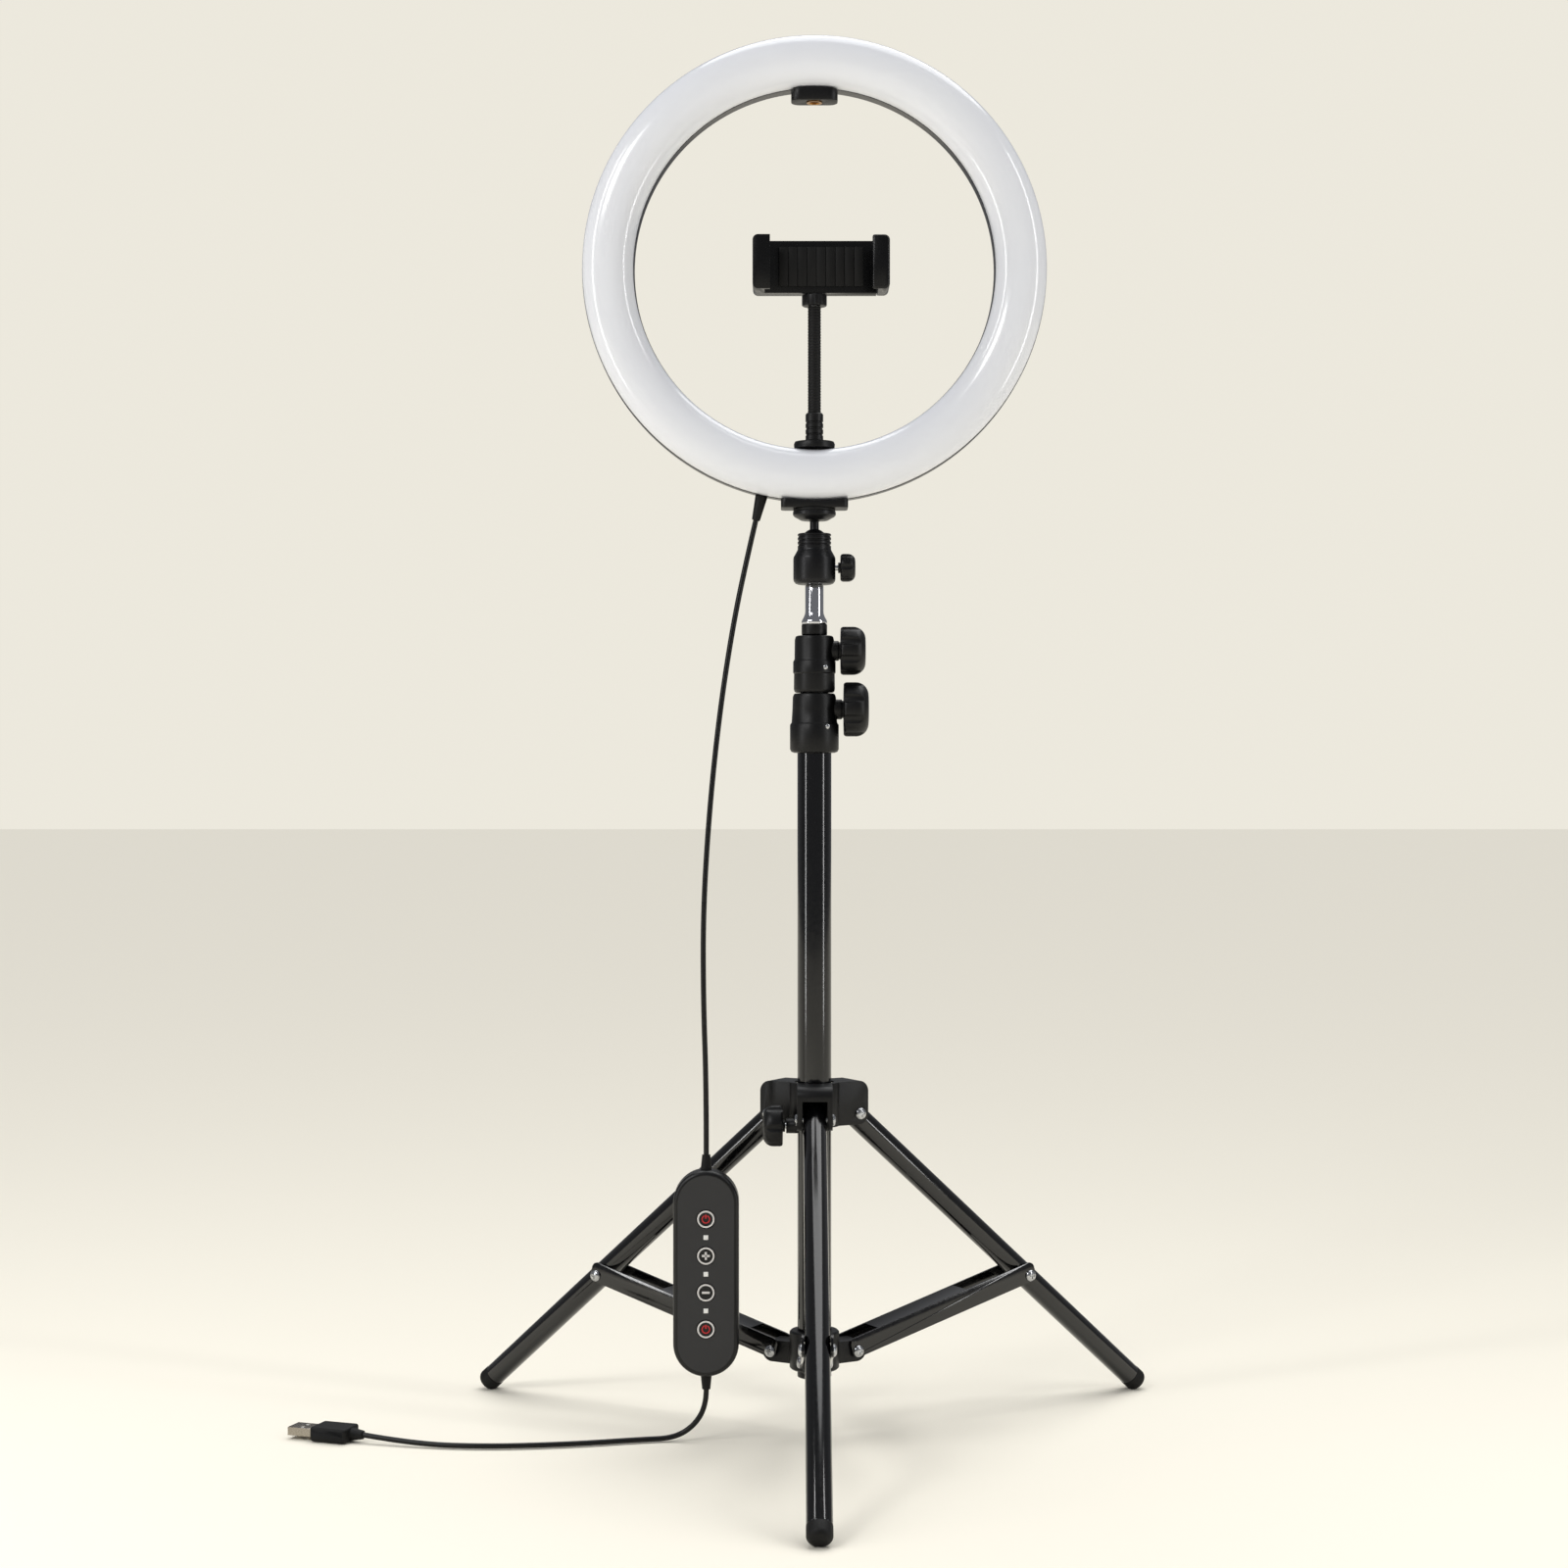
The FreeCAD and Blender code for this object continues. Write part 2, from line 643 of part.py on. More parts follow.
def jaw_block(inner, outer):
    """A jaw that reaches forward, with a lip on its inner side."""
    side = 1 if inner < outer else -1
    x0, x1 = sorted((inner, outer))
    jaw = block(x0, x1, JAW_FRONT, HOLDER_HALF_DEEP, HOLDER_BASE, JAW_TOP)
    mid_y = (JAW_FRONT + HOLDER_HALF_DEEP) / 2
    corners = [
        e for e in jaw.Edges
        if abs(e.CenterOfMass.x - outer) < 0.01 and abs(e.CenterOfMass.y - mid_y) < 0.01
        and min(abs(e.CenterOfMass.z - HOLDER_BASE), abs(e.CenterOfMass.z - JAW_TOP)) < 0.01
    ]
    jaw = jaw.makeFillet(JAW_CORNER, corners)
    l0, l1 = sorted((inner, inner - side * 3.0))
    return jaw.fuse(block(l0, l1, JAW_FRONT, JAW_FRONT + 2.5, HOLDER_BASE, JAW_TOP))


def holder_body():
    """Back of the phone holder with its fixed jaw and the slider's pocket."""
    d = HOLDER_HALF_DEEP
    body = block(HOLDER_LEFT + JAW_WIDE, HOLDER_RIGHT, -d, d, HOLDER_BASE, HOLDER_TOP)
    body = body.fuse(jaw_block(HOLDER_LEFT + JAW_WIDE, HOLDER_LEFT)).removeSplitter()
    body = body.cut(block(-26, HOLDER_RIGHT + 1, -2.3, 2.3, 643, 660))
    return body.cut(post(2.6, HOLDER_BASE - 1, 643.5))


def holder_pads():
    """Rubber pads on the holder's back and fixed jaw."""
    d = HOLDER_HALF_DEEP
    back = block(-20, 28, -d - PAD, -d, 640, 663)
    x = HOLDER_LEFT + JAW_WIDE
    return grouped([back, block(x, x + PAD, -16, -d - PAD - 0.5, 640, JAW_TOP - 3)])


def holder_jaw():
    """Sliding jaw with its tongue."""
    outer = HOLDER_RIGHT + 0.3 + JAW_WIDE
    jaw = jaw_block(HOLDER_RIGHT + 0.3, outer)
    tongue = block(-10, HOLDER_RIGHT + 1, -2, 2, 643.4, 659.6)
    return jaw.fuse(tongue).removeSplitter()


def holder_spring():
    """Coil spring that pulls the sliding jaw in."""
    helix = Part.makeHelix(1.5, 14.4, 1.6)
    start = Part.Wire(Part.makeCircle(0.3, V(1.6, 0, 0), V(0, 1, 0)))
    coil = Part.Wire(helix.Edges).makePipeShell([start], True, True)
    coil.rotate(V(0, 0, 0), V(0, 1, 0), 90)
    coil.translate(V(-25.2, 0, 651.5))
    return coil


# ---- hand controller -------------------------------------------------------
def stadium(half_wide, half_tall, y0, y1):
    """Upright bar with round ends, in the controller's place."""
    straight = half_tall - half_wide
    core = block(-half_wide, half_wide, y0, y1, -straight, straight)
    for z in (-straight, straight):
        core = core.fuse(rod(half_wide, (0, y0, z), (0, y1, z)))
    core = core.removeSplitter()
    core.translate(V(CTRL_X, CTRL_Y, CTRL_Z))
    return core


def controller_shell(front):
    """One half of the controller's case: y runs from the joint outwards."""
    side = -1 if front else 1
    deep = sorted((0.0, side * CTRL_HALF_DEEP))
    out = stadium(CTRL_HALF_WIDE, CTRL_HALF_TALL, deep[0], deep[1])
    face_y = CTRL_Y + side * CTRL_HALF_DEEP
    rim = [e for e in out.Edges if abs(e.CenterOfMass.y - face_y) < 0.01]
    out = out.makeFillet(2.4, rim)
    hollow = sorted((0.0, side * (CTRL_HALF_DEEP - CTRL_SKIN)))
    inner = stadium(
        CTRL_HALF_WIDE - CTRL_SKIN, CTRL_HALF_TALL - CTRL_SKIN, hollow[0], hollow[1]
    )
    return out.cut(inner)


def button_heights():
    """Heights of the four buttons, from the top down."""
    return [CTRL_Z + BUTTON_PITCH * (1.5 - i) for i in range(4)]


def controller_front():
    """Front half of the case with holes for buttons and indicators."""
    shell = controller_shell(True)
    y0 = CTRL_Y - CTRL_HALF_DEEP - 1
    y1 = CTRL_Y - 2
    for z in button_heights():
        shell = shell.cut(rod(BUTTON_R + 0.3, (CTRL_X, y0, z), (CTRL_X, y1, z)))
    return shell.cut(indicator_windows())


def indicator_windows():
    """Three small square windows between the buttons."""
    face = CTRL_Y - CTRL_HALF_DEEP
    windows = []
    for i in (-1, 0, 1):
        z = CTRL_Z + i * BUTTON_PITCH
        box = block(CTRL_X - 1.35, CTRL_X + 1.35, face - 0.2, face + 2, z - 1.35, z + 1.35)
        windows.append(box)
    return grouped(windows)


def controller_board():
    """Circuit board inside the controller."""
    return stadium(CTRL_HALF_WIDE - 2.2, CTRL_HALF_TALL - 2.2, -1.0, 0.6)


def controller_boots():
    """Short collars where the lead enters each end of the controller."""
    top = CTRL_Z + CTRL_HALF_TALL
    low = CTRL_Z - CTRL_HALF_TALL
    solid = stadium(CTRL_HALF_WIDE, CTRL_HALF_TALL, -CTRL_HALF_DEEP, CTRL_HALF_DEEP)
    up = Part.makeCone(3.2, 2.3, 9.0, V(CTRL_X, CTRL_Y, top - 1), UP).cut(solid)
    down = Part.makeCone(3.2, 2.3, 9.0, V(CTRL_X, CTRL_Y, low + 1), V(0, 0, -1)).cut(solid)
    return grouped([up, down])


def button(z):
    """One push button with a flange behind the case's face."""
    face = CTRL_Y - CTRL_HALF_DEEP
    cap = rod(BUTTON_R, (CTRL_X, face - 0.6, z), (CTRL_X, CTRL_Y - 2.0, z))
    flange = rod(BUTTON_R + 1.2, (CTRL_X, face + 1.9, z), (CTRL_X, face + 2.9, z))
    return cap.fuse(flange)


# ---- plug ------------------------------------------------------------------
def plug_place(shape):
    """Move a piece drawn along +X from the relief's tip to the end of the lead."""
    a = V(*LOWER_ROUTE[-2])
    b = V(*LOWER_ROUTE[-1])
    heading = math.degrees(math.atan2(b.y - a.y, b.x - a.x))
    shape.rotate(V(0, 0, 0), UP, heading)
    shape.translate(b)
    return shape


def usb_overmould():
    """Moulded grip of the plug with its strain relief."""
    long, wide, thick = USB_BODY
    relief = Part.makeCone(2.4, 3.4, USB_RELIEF, V(0, 0, 0), V(1, 0, 0))
    x = USB_RELIEF
    body = block(x, x + long, -wide / 2, wide / 2, -thick / 2, thick / 2)
    body = body.makeFillet(1.6, body.Edges)
    body = body.fuse(relief).removeSplitter()
    s = USB_SHELL
    pocket = block(x + long - 6, x + long + 1, -s[1] / 2, s[1] / 2, -s[2] / 2, s[2] / 2)
    return plug_place(body.cut(pocket))


def usb_shell():
    """Folded metal shell of the plug with its contact tongue's space open."""
    s = USB_SHELL
    x = USB_RELIEF + USB_BODY[0]
    out = block(x - 6, x + s[0], -s[1] / 2, s[1] / 2, -s[2] / 2, s[2] / 2)
    inside = block(x - 5, x + s[0] + 1, -s[1] / 2 + 0.3, s[1] / 2 - 0.3, -1.95, 1.95)
    out = out.cut(inside)
    for side in (-1, 1):
        y = side * 2.9
        out = out.cut(block(x + 6.2, x + 8.7, y - 1.2, y + 1.2, -3, 3))
    return plug_place(out)


# ---- every node ------------------------------------------------------------
def upper_route():
    """The upper lead's route from just below the boot."""
    start, out = boot_axis()
    first = start.add(out * (BOOT_LONG + LEAD_START_GAP))
    return [(first.x, first.y, first.z)] + UPPER_ROUTE


def all_nodes():
    """Every node's name and shape."""
    nodes = {
        "rear_housing": rear_housing(),
        "diffuser": diffuser(),
        "led_board": led_board(),
        "led_chips": led_chips(),
        "housing_screws": housing_screws(),
        "top_boss": top_boss(),
        "brass_insert": brass_insert(),
        "base_bracket": base_bracket(),
        "lead_boot": lead_boot(),
        "neck_ferrule": neck_ferrule(),
        "ball_stud": ball_stud(),
        "ball_housing": ball_housing(),
        "ball_seat": ball_seat(),
        "ball_knob": ball_knob(),
        "spigot": spigot(),
        "inner_tube": inner_tube(),
        "inner_bush": sleeve(MIDDLE_BORE - RUN_FIT, INNER_R, INNER_BASE, INNER_BASE + BUSH_LONG),
        "middle_tube": sleeve(MIDDLE_R, MIDDLE_BORE, MIDDLE_BASE, MIDDLE_TOP),
        "middle_bush": sleeve(COLUMN_BORE - RUN_FIT, MIDDLE_R, MIDDLE_BASE, MIDDLE_BASE + BUSH_LONG),
        "outer_column": sleeve(COLUMN_R, COLUMN_BORE, COLUMN_BASE, COLUMN_TOP),
        "column_end_cap": column_end_cap(),
        "lower_clamp": clamp(LOWER_CLAMP, COLUMN_R, COLUMN_TOP, MIDDLE_R),
        "upper_clamp": clamp(UPPER_CLAMP, MIDDLE_R, MIDDLE_TOP, INNER_R),
        "lower_clamp_knob": clamp_knob(LOWER_CLAMP, MIDDLE_R),
        "upper_clamp_knob": clamp_knob(UPPER_CLAMP, INNER_R),
        "lower_collar": lower_collar(),
        "collar_bolts": bolts(COLLAR_PIN_R, COLLAR_PIN_Z, FORK_IN + BRACE_SHEET),
        "hub": hub(),
        "hub_bush": sleeve(11.0, COLUMN_R + RUN_FIT, HUB_BASE + 1, HUB_TOP - 1),
        "hub_bolts": bolts(HUB_PIN_R, HUB_PIN_Z, FORK_OUT - 0.2),
        "hub_knob": hub_knob(),
        "holder_nut": holder_nut(),
        "holder_body": holder_body(),
        "holder_pads": holder_pads(),
        "holder_jaw": holder_jaw(),
        "holder_spring": holder_spring(),
        "controller_front": controller_front(),
        "controller_back": controller_shell(False),
        "controller_board": controller_board(),
        "controller_boots": controller_boots(),
        "usb_overmould": usb_overmould(),
        "usb_shell": usb_shell(),
        "lead_upper": cord(upper_route(), LEAD_R, "lead_upper"),
        "lead_lower": cord(LOWER_ROUTE, LEAD_R, "lead_lower"),
    }
    for index in range(len(NECK_JOINTS)):
        nodes[f"gooseneck_{index + 1}"] = neck_segment(index)
    for index, z in enumerate(button_heights()):
        nodes[f"button_{index + 1}"] = button(z)
    for index, heading in enumerate(LEG_HEADINGS):
        nodes[f"leg_{index + 1}"] = to_heading(leg_tube(), heading)
        nodes[f"foot_cap_{index + 1}"] = to_heading(foot_cap(), heading)
        nodes[f"brace_{index + 1}"] = to_heading(brace(), heading)
    return nodes


def main():
    """Write each node's STEP file."""
    os.makedirs("parts", exist_ok=True)
    nodes = all_nodes()
    for name, shape in nodes.items():
        if not shape.isValid():
            print("INVALID", name)
        shape.exportStep(f"parts/{name}.step")
    print(len(nodes), "nodes, leg pin", leg_point(LEG_PIN_AT), "brace", brace_angle())


main()
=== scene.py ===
"""Looks of a ring light on a folding tripod stand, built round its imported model."""
from __future__ import annotations

import logging
import math
from dataclasses import dataclass, field
from enum import Enum

import bpy
from mathutils import Matrix, Vector


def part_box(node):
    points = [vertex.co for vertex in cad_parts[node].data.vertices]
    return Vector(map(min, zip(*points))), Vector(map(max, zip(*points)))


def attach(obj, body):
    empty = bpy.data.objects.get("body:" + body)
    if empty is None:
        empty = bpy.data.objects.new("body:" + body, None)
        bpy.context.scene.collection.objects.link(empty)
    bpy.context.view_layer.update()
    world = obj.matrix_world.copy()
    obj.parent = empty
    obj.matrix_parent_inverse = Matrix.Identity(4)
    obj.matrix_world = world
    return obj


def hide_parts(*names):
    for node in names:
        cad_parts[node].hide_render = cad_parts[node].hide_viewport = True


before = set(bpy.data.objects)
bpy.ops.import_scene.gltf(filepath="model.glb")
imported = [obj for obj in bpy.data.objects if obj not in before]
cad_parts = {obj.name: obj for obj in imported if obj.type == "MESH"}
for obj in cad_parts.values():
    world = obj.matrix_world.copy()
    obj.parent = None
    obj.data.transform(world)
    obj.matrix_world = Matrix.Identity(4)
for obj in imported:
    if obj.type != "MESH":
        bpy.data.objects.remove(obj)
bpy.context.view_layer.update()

LOG = logging.getLogger("ring_light")
MM = 0.001
Point = tuple[float, float, float]
Outline = list[tuple[float, float]]

COAT_ROUGHNESS = 0.08  # a lacquer that is nearly a mirror
SCATTER = (0.004, 0.004, 0.004)  # how far light spreads inside opal plastic, in metres
BUMP_STRENGTH = 0.6
GRAIN_SPREAD = (0.3, 0.7)  # where nearly all of the noise's values lie
RING_STRETCH = (0.15, 0.15, 4.0)  # draws even grain out into rings across the turning axis


# ---------------------------------------------------------------- finishes
class Surface(Enum):
    """How a surface was made: a turned one has rings, the others an even grain."""

    MOULDED = "spark-eroded mould grain"
    GLOSSY = "flowed paint or polished plastic"
    PLATED = "polished and plated metal"
    TURNED = "fine rings left by a lathe"
    FROSTED = "light-scattering acrylic"


@dataclass(frozen=True)
class Finish:
    """One real material with the way its surface was made."""

    name: str
    colour: str
    worn: str
    roughness: tuple[float, float]
    surface: Surface
    grain_mm: float
    relief_mm: float
    metallic: float = 0.0
    ior: float = 1.5
    coat: float = 0.0
    specular: float = 0.5
    subsurface: float = 0.0
    tint_mm: float = 60.0

    def make(self) -> bpy.types.Material:
        """Build the node material, or return the one already made."""
        made = bpy.data.materials.get(self.name)
        if made is not None:
            return made
        material = bpy.data.materials.new(self.name)
        material.use_nodes = True
        tree = material.node_tree
        shader = tree.nodes["Principled BSDF"]
        shader.inputs["Metallic"].default_value = self.metallic
        shader.inputs["Coat Weight"].default_value = self.coat
        shader.inputs["Specular IOR Level"].default_value = self.specular
        shader.inputs["Coat Roughness"].default_value = COAT_ROUGHNESS
        shader.inputs["Subsurface Weight"].default_value = self.subsurface
        shader.inputs["Subsurface Radius"].default_value = SCATTER
        shader.inputs["Subsurface Scale"].default_value = 1.0
        if not self.metallic:
            shader.inputs["IOR"].default_value = self.ior
        place = node(tree, "ShaderNodeTexCoord")
        grain_from = place.outputs["Object"]
        if self.surface is Surface.TURNED:
            rings = node(tree, "ShaderNodeMapping", {"Vector": grain_from, "Scale": RING_STRETCH})
            grain_from = rings.outputs["Vector"]
        grain = node(
            tree,
            "ShaderNodeTexNoise",
            {"Vector": grain_from, "Scale": 1 / (self.grain_mm * MM), "Detail": 2.0},
        )
        tint = node(
            tree,
            "ShaderNodeTexNoise",
            {"Vector": place.outputs["Object"], "Scale": 1 / (self.tint_mm * MM), "Detail": 3.0},
        )
        mix = node(
            tree,
            "ShaderNodeMix",
            {"Factor": tint.outputs["Fac"], 6: linear(self.colour), 7: linear(self.worn)},
            data_type="RGBA",
        )
        spread = node(
            tree,
            "ShaderNodeMapRange",
            {
                "Value": grain.outputs["Fac"],
                "From Min": GRAIN_SPREAD[0],
                "From Max": GRAIN_SPREAD[1],
                "To Min": self.roughness[0],
                "To Max": self.roughness[1],
            },
        )
        bump = node(
            tree,
            "ShaderNodeBump",
            {"Height": grain.outputs["Fac"], "Strength": BUMP_STRENGTH, "Distance": self.relief_mm * MM},
        )
        tree.links.new(mix.outputs[2], shader.inputs["Base Color"])
        tree.links.new(spread.outputs["Result"], shader.inputs["Roughness"])
        tree.links.new(bump.outputs["Normal"], shader.inputs["Normal"])
        return material


def linear(code: str) -> tuple[float, float, float, float]:
    """Turn an sRGB hex colour to linear.

    Args:
        code: six hex digits.

    Returns:
        Linear red, green, blue and an alpha of 1.
    """
    parts = [int(code[i : i + 2], 16) / 255 for i in (0, 2, 4)]
    low = [p / 12.92 if p <= 0.04045 else ((p + 0.055) / 1.055) ** 2.4 for p in parts]
    return low[0], low[1], low[2], 1.0


def node(
    tree: bpy.types.NodeTree, kind: str, inputs: dict | None = None, **settings: object
) -> bpy.types.Node:
    """Add one node with its settings, values and links.

    Args:
        tree: the material's node tree.
        kind: the node's type name.
        inputs: a value or an output socket for each named or numbered input.
        settings: the node's own properties.

    Returns:
        The new node.
    """
    made = tree.nodes.new(kind)
    for key, value in settings.items():
        setattr(made, key, value)
    for key, value in (inputs or {}).items():
        if isinstance(value, bpy.types.NodeSocket):
            tree.links.new(value, made.inputs[key])
        else:
            made.inputs[key].default_value = value
    return made


# A real mould grain is about 0.05 to 0.1 mm and lathe rings are finer still. Both are drawn at
# 0.4 to 0.8 mm, so that they still break up the highlights from a metre and a half away.
# Injection-moulded ABS with a fine spark-eroded grain: a soft, even sheen.
ABS_BLACK = Finish(
    "abs_moulded_black", "070708", "0b0b0c", (0.34, 0.48), Surface.MOULDED, 0.5, 0.02, specular=0.28,
)
# The same ABS from a polished mould, on the light's rear shell.
ABS_SATIN = Finish(
    "abs_satin_black", "060607", "0a0a0b", (0.22, 0.32), Surface.MOULDED, 0.8, 0.012, specular=0.3,
)
# Opal acrylic: glossy skin over a body that scatters light.
OPAL_ACRYLIC = Finish(
    "acrylic_opal_white", "dfe1e8", "e5e7ec", (0.14, 0.2), Surface.FROSTED, 6.0, 0.004,
    ior=1.49, coat=0.25, subsurface=0.15,
)
# Stoved gloss enamel on steel tube: mirror-like with faint orange peel.
ENAMEL_BLACK = Finish(
    "enamel_gloss_black", "020203", "040405", (0.1, 0.17), Surface.GLOSSY, 2.6, 0.01,
    ior=1.52, coat=0.35, specular=0.45,
)
# Chrome over nickel, polished before plating: a mirror with the faintest waviness.
CHROME = Finish(
    "chrome_plated_brass", "d9dade", "cfd0d6", (0.05, 0.1), Surface.PLATED, 3.0, 0.003, metallic=1.0,
)
# Bright nickel plate on small steel bolts: bright, but with softened reflections.
NICKEL = Finish(
    "nickel_plated_steel", "c3c4c6", "aeb0b3", (0.18, 0.3), Surface.TURNED, 0.5, 0.006, metallic=1.0,
)
# Free-machining brass: warm, with the rings that the lathe left.
BRASS = Finish("brass_turned", "b3874a", "94693a", (0.2, 0.34), Surface.TURNED, 0.5, 0.01, metallic=1.0)
# Anodised aluminium of the ball head, bead-blasted first: a broad, dull metal glint.
ANODISED = Finish(
    "aluminium_anodised_black", "0d0d0f", "141417", (0.3, 0.42), Surface.TURNED, 0.6, 0.01, metallic=0.5,
)
# Soft thermoplastic rubber: no gloss, a powdery bloom in the tint.
RUBBER = Finish(
    "tpe_rubber_black", "070707", "0c0c0c", (0.5, 0.68), Surface.MOULDED, 0.4, 0.02, specular=0.25,
)
# Extruded PVC jacket of the lead, smooth and slightly shiny.
PVC_JACKET = Finish(
    "pvc_jacket_black", "050505", "090909", (0.28, 0.4), Surface.GLOSSY, 1.2, 0.006, specular=0.3,
)
# Dark grey ABS of the hand controller's face panel, matt enough to set off the marks.
ABS_CONTROLLER = Finish(
    "abs_controller_grey", "2c2c2d", "333334", (0.4, 0.52), Surface.MOULDED, 0.45, 0.02, specular=0.35,
)
# Blacker, shinier ABS of its case and buttons, which frames the panel.
ABS_CONTROLLER_EDGE = Finish(
    "abs_controller_edge", "0a0a0b", "101011", (0.3, 0.42), Surface.MOULDED, 0.45, 0.02, specular=0.35,
)
# Pale silk-screened ink of the buttons' rings and marks: flat and slightly chalky.
INK_PALE = Finish("ink_pale_grey", "cfccca", "dcd9d7", (0.45, 0.55), Surface.MOULDED, 0.4, 0.004)
# Red ink of the power marks, laid on a little smoother.
INK_RED = Finish("ink_red", "b8141b", "cc1f28", (0.42, 0.52), Surface.MOULDED, 0.4, 0.004)
# Milky acrylic of the indicator windows, also used for the plug's white tongue.
LENS_WHITE = Finish("acrylic_lens_white", "e9e9e6", "f4f4f1", (0.18, 0.25), Surface.FROSTED, 1.0, 0.002)
# Fibreglass board under white solder mask, even and half glossy.
BOARD = Finish("fibreglass_board_white", "dcdcd6", "e4e4de", (0.35, 0.45), Surface.GLOSSY, 1.5, 0.01)
# Yellow phosphor gel that fills each light-emitting chip.
PHOSPHOR = Finish("led_phosphor_gel", "e8d27a", "efdc8c", (0.25, 0.35), Surface.GLOSSY, 1.0, 0.004)
# Natural nylon of the bushes and the ball's seat: creamy, with a waxy sheen.
NYLON = Finish("nylon_natural", "d8d4c6", "e2decf", (0.38, 0.48), Surface.MOULDED, 0.6, 0.01)
# Nickel-plated stamped steel of the plug, a little warm.
PLUG_STEEL = Finish(
    "plug_shell_steel", "a9a297", "938c82", (0.2, 0.34), Surface.PLATED, 0.8, 0.006, metallic=1.0,
)


# ---------------------------------------------------------------- modelling tools
def clear_selection() -> None:
    """Leave no object selected or active for editing."""
    for obj in bpy.context.selected_objects:
        obj.select_set(False)


def activate(obj: bpy.types.Object) -> None:
    """Select one object only and make it active."""
    clear_selection()
    obj.select_set(True)
    bpy.context.view_layer.objects.active = obj


def finish_mesh(obj: bpy.types.Object, angle: float = 38.0) -> bpy.types.Object:
    """Apply an object's transform and shade it smooth.

    Args:
        obj: the mesh object.
        angle: edges sharper than this many degrees stay sharp.

    Returns:
        The same object.
    """
    activate(obj)
    bpy.ops.object.transform_apply(location=True, rotation=True, scale=True)
    bpy.ops.object.shade_smooth_by_angle(angle=math.radians(angle))
    return obj


def apply_modifier(obj: bpy.types.Object, kind: str, **settings: object) -> None:
    """Add a modifier, set it and apply it.

    Args:
        obj: the mesh object.
        kind: the modifier's type.
        settings: the modifier's own properties.
    """
    activate(obj)
    modifier = obj.modifiers.new(kind.lower(), kind)
    for key, value in settings.items():
        setattr(modifier, key, value)
    bpy.ops.object.modifier_apply(modifier=modifier.name)


def aim(axis: Point) -> Matrix:
    """Rotation that turns +Z to an axis."""
    return Vector((0, 0, 1)).rotation_difference(Vector(axis)).to_matrix().to_4x4()


def mm(*pairs: tuple[float, float]) -> Outline:
    """Outline from (radius, distance) pairs in millimetres."""
    return [(radius * MM, distance * MM) for radius, distance in pairs]


def lathe(
    name: str, outline: Outline, centre: Point = (0, 0, 0), axis: Point = (0, 0, 1), steps: int = 72
) -> bpy.types.Object:
    """Spin an outline about an axis.

    Args:
        name: the piece's name.
        outline: (radius, distance along the axis) points, closed by the function.
        centre: the point on the axis where the distance is nought.
        axis: the axis's direction.
        steps: how many facets go round.

    Returns:
        The finished object.
    """
    clear_selection()
    bpy.ops.mesh.primitive_plane_add(size=1.0)
    obj = bpy.context.object
    obj.name = name
    bpy.ops.object.mode_set(mode="EDIT")
    bpy.ops.mesh.select_all(action="SELECT")
    bpy.ops.mesh.merge(type="CENTER")
    bpy.ops.transform.translate(value=(outline[0][0], 0, outline[0][1]))
    on_axis = outline[0][0] == 0 and outline[-1][0] == 0
    loop = outline if on_axis else outline + outline[:1]
    for (r0, z0), (r1, z1) in zip(loop, loop[1:]):
        step = (r1 - r0, 0, z1 - z0)
        bpy.ops.mesh.extrude_vertices_move(TRANSFORM_OT_translate={"value": step})
    bpy.ops.mesh.select_all(action="SELECT")
    bpy.ops.mesh.spin(steps=steps, angle=2 * math.pi, center=(0, 0, 0), axis=(0, 0, 1))
    bpy.ops.mesh.select_all(action="SELECT")
    bpy.ops.mesh.remove_doubles(threshold=2e-6)
    bpy.ops.mesh.normals_make_consistent(inside=False)
    bpy.ops.object.mode_set(mode="OBJECT")
    obj.matrix_world = Matrix.Translation(centre) @ aim(axis)
    return finish_mesh(obj)


def rounded(r0: float, z0: float, r1: float, z1: float, corner: float) -> Outline:
    """Outline of a solid of revolution with its outer edges rounded.

    Args:
        r0: inner radius.
        z0: lower end.
        r1: outer radius.
        z1: upper end.
        corner: radius of the round edges.

    Returns:
        The outline, for lathe.
    """
    arc: Outline = []
    for r, z, start in ((r1, z0, -90), (r1, z1, 0)):
        cz = z + corner if start == -90 else z - corner
        for i in range(5):
            turn = math.radians(start + 22.5 * i)
            arc.append((r - corner + corner * math.cos(turn), cz + corner * math.sin(turn)))
    return [(r0, z0)] + arc + [(r0, z1)]


def slab(name: str, low: Point, high: Point, corner: float, segments: int = 3) -> bpy.types.Object:
    """A box between two corners with every edge rounded.

    Args:
        name: the piece's name.
        low: its lowest corner.
        high: its highest corner.
        corner: radius of the round edges.
        segments: facets across each round edge.

    Returns:
        The finished object.
    """
    clear_selection()
    middle = [(a + b) / 2 for a, b in zip(low, high)]
    bpy.ops.mesh.primitive_cube_add(size=1.0, location=middle)
    obj = bpy.context.object
    obj.name = name
    obj.scale = [b - a for a, b in zip(low, high)]
    bpy.ops.object.transform_apply(location=True, rotation=True, scale=True)
    bpy.ops.object.mode_set(mode="EDIT")
    bpy.ops.mesh.select_all(action="SELECT")
    bpy.ops.mesh.bevel(offset=corner, segments=segments, affect="EDGES")
    bpy.ops.object.mode_set(mode="OBJECT")
    return finish_mesh(obj)


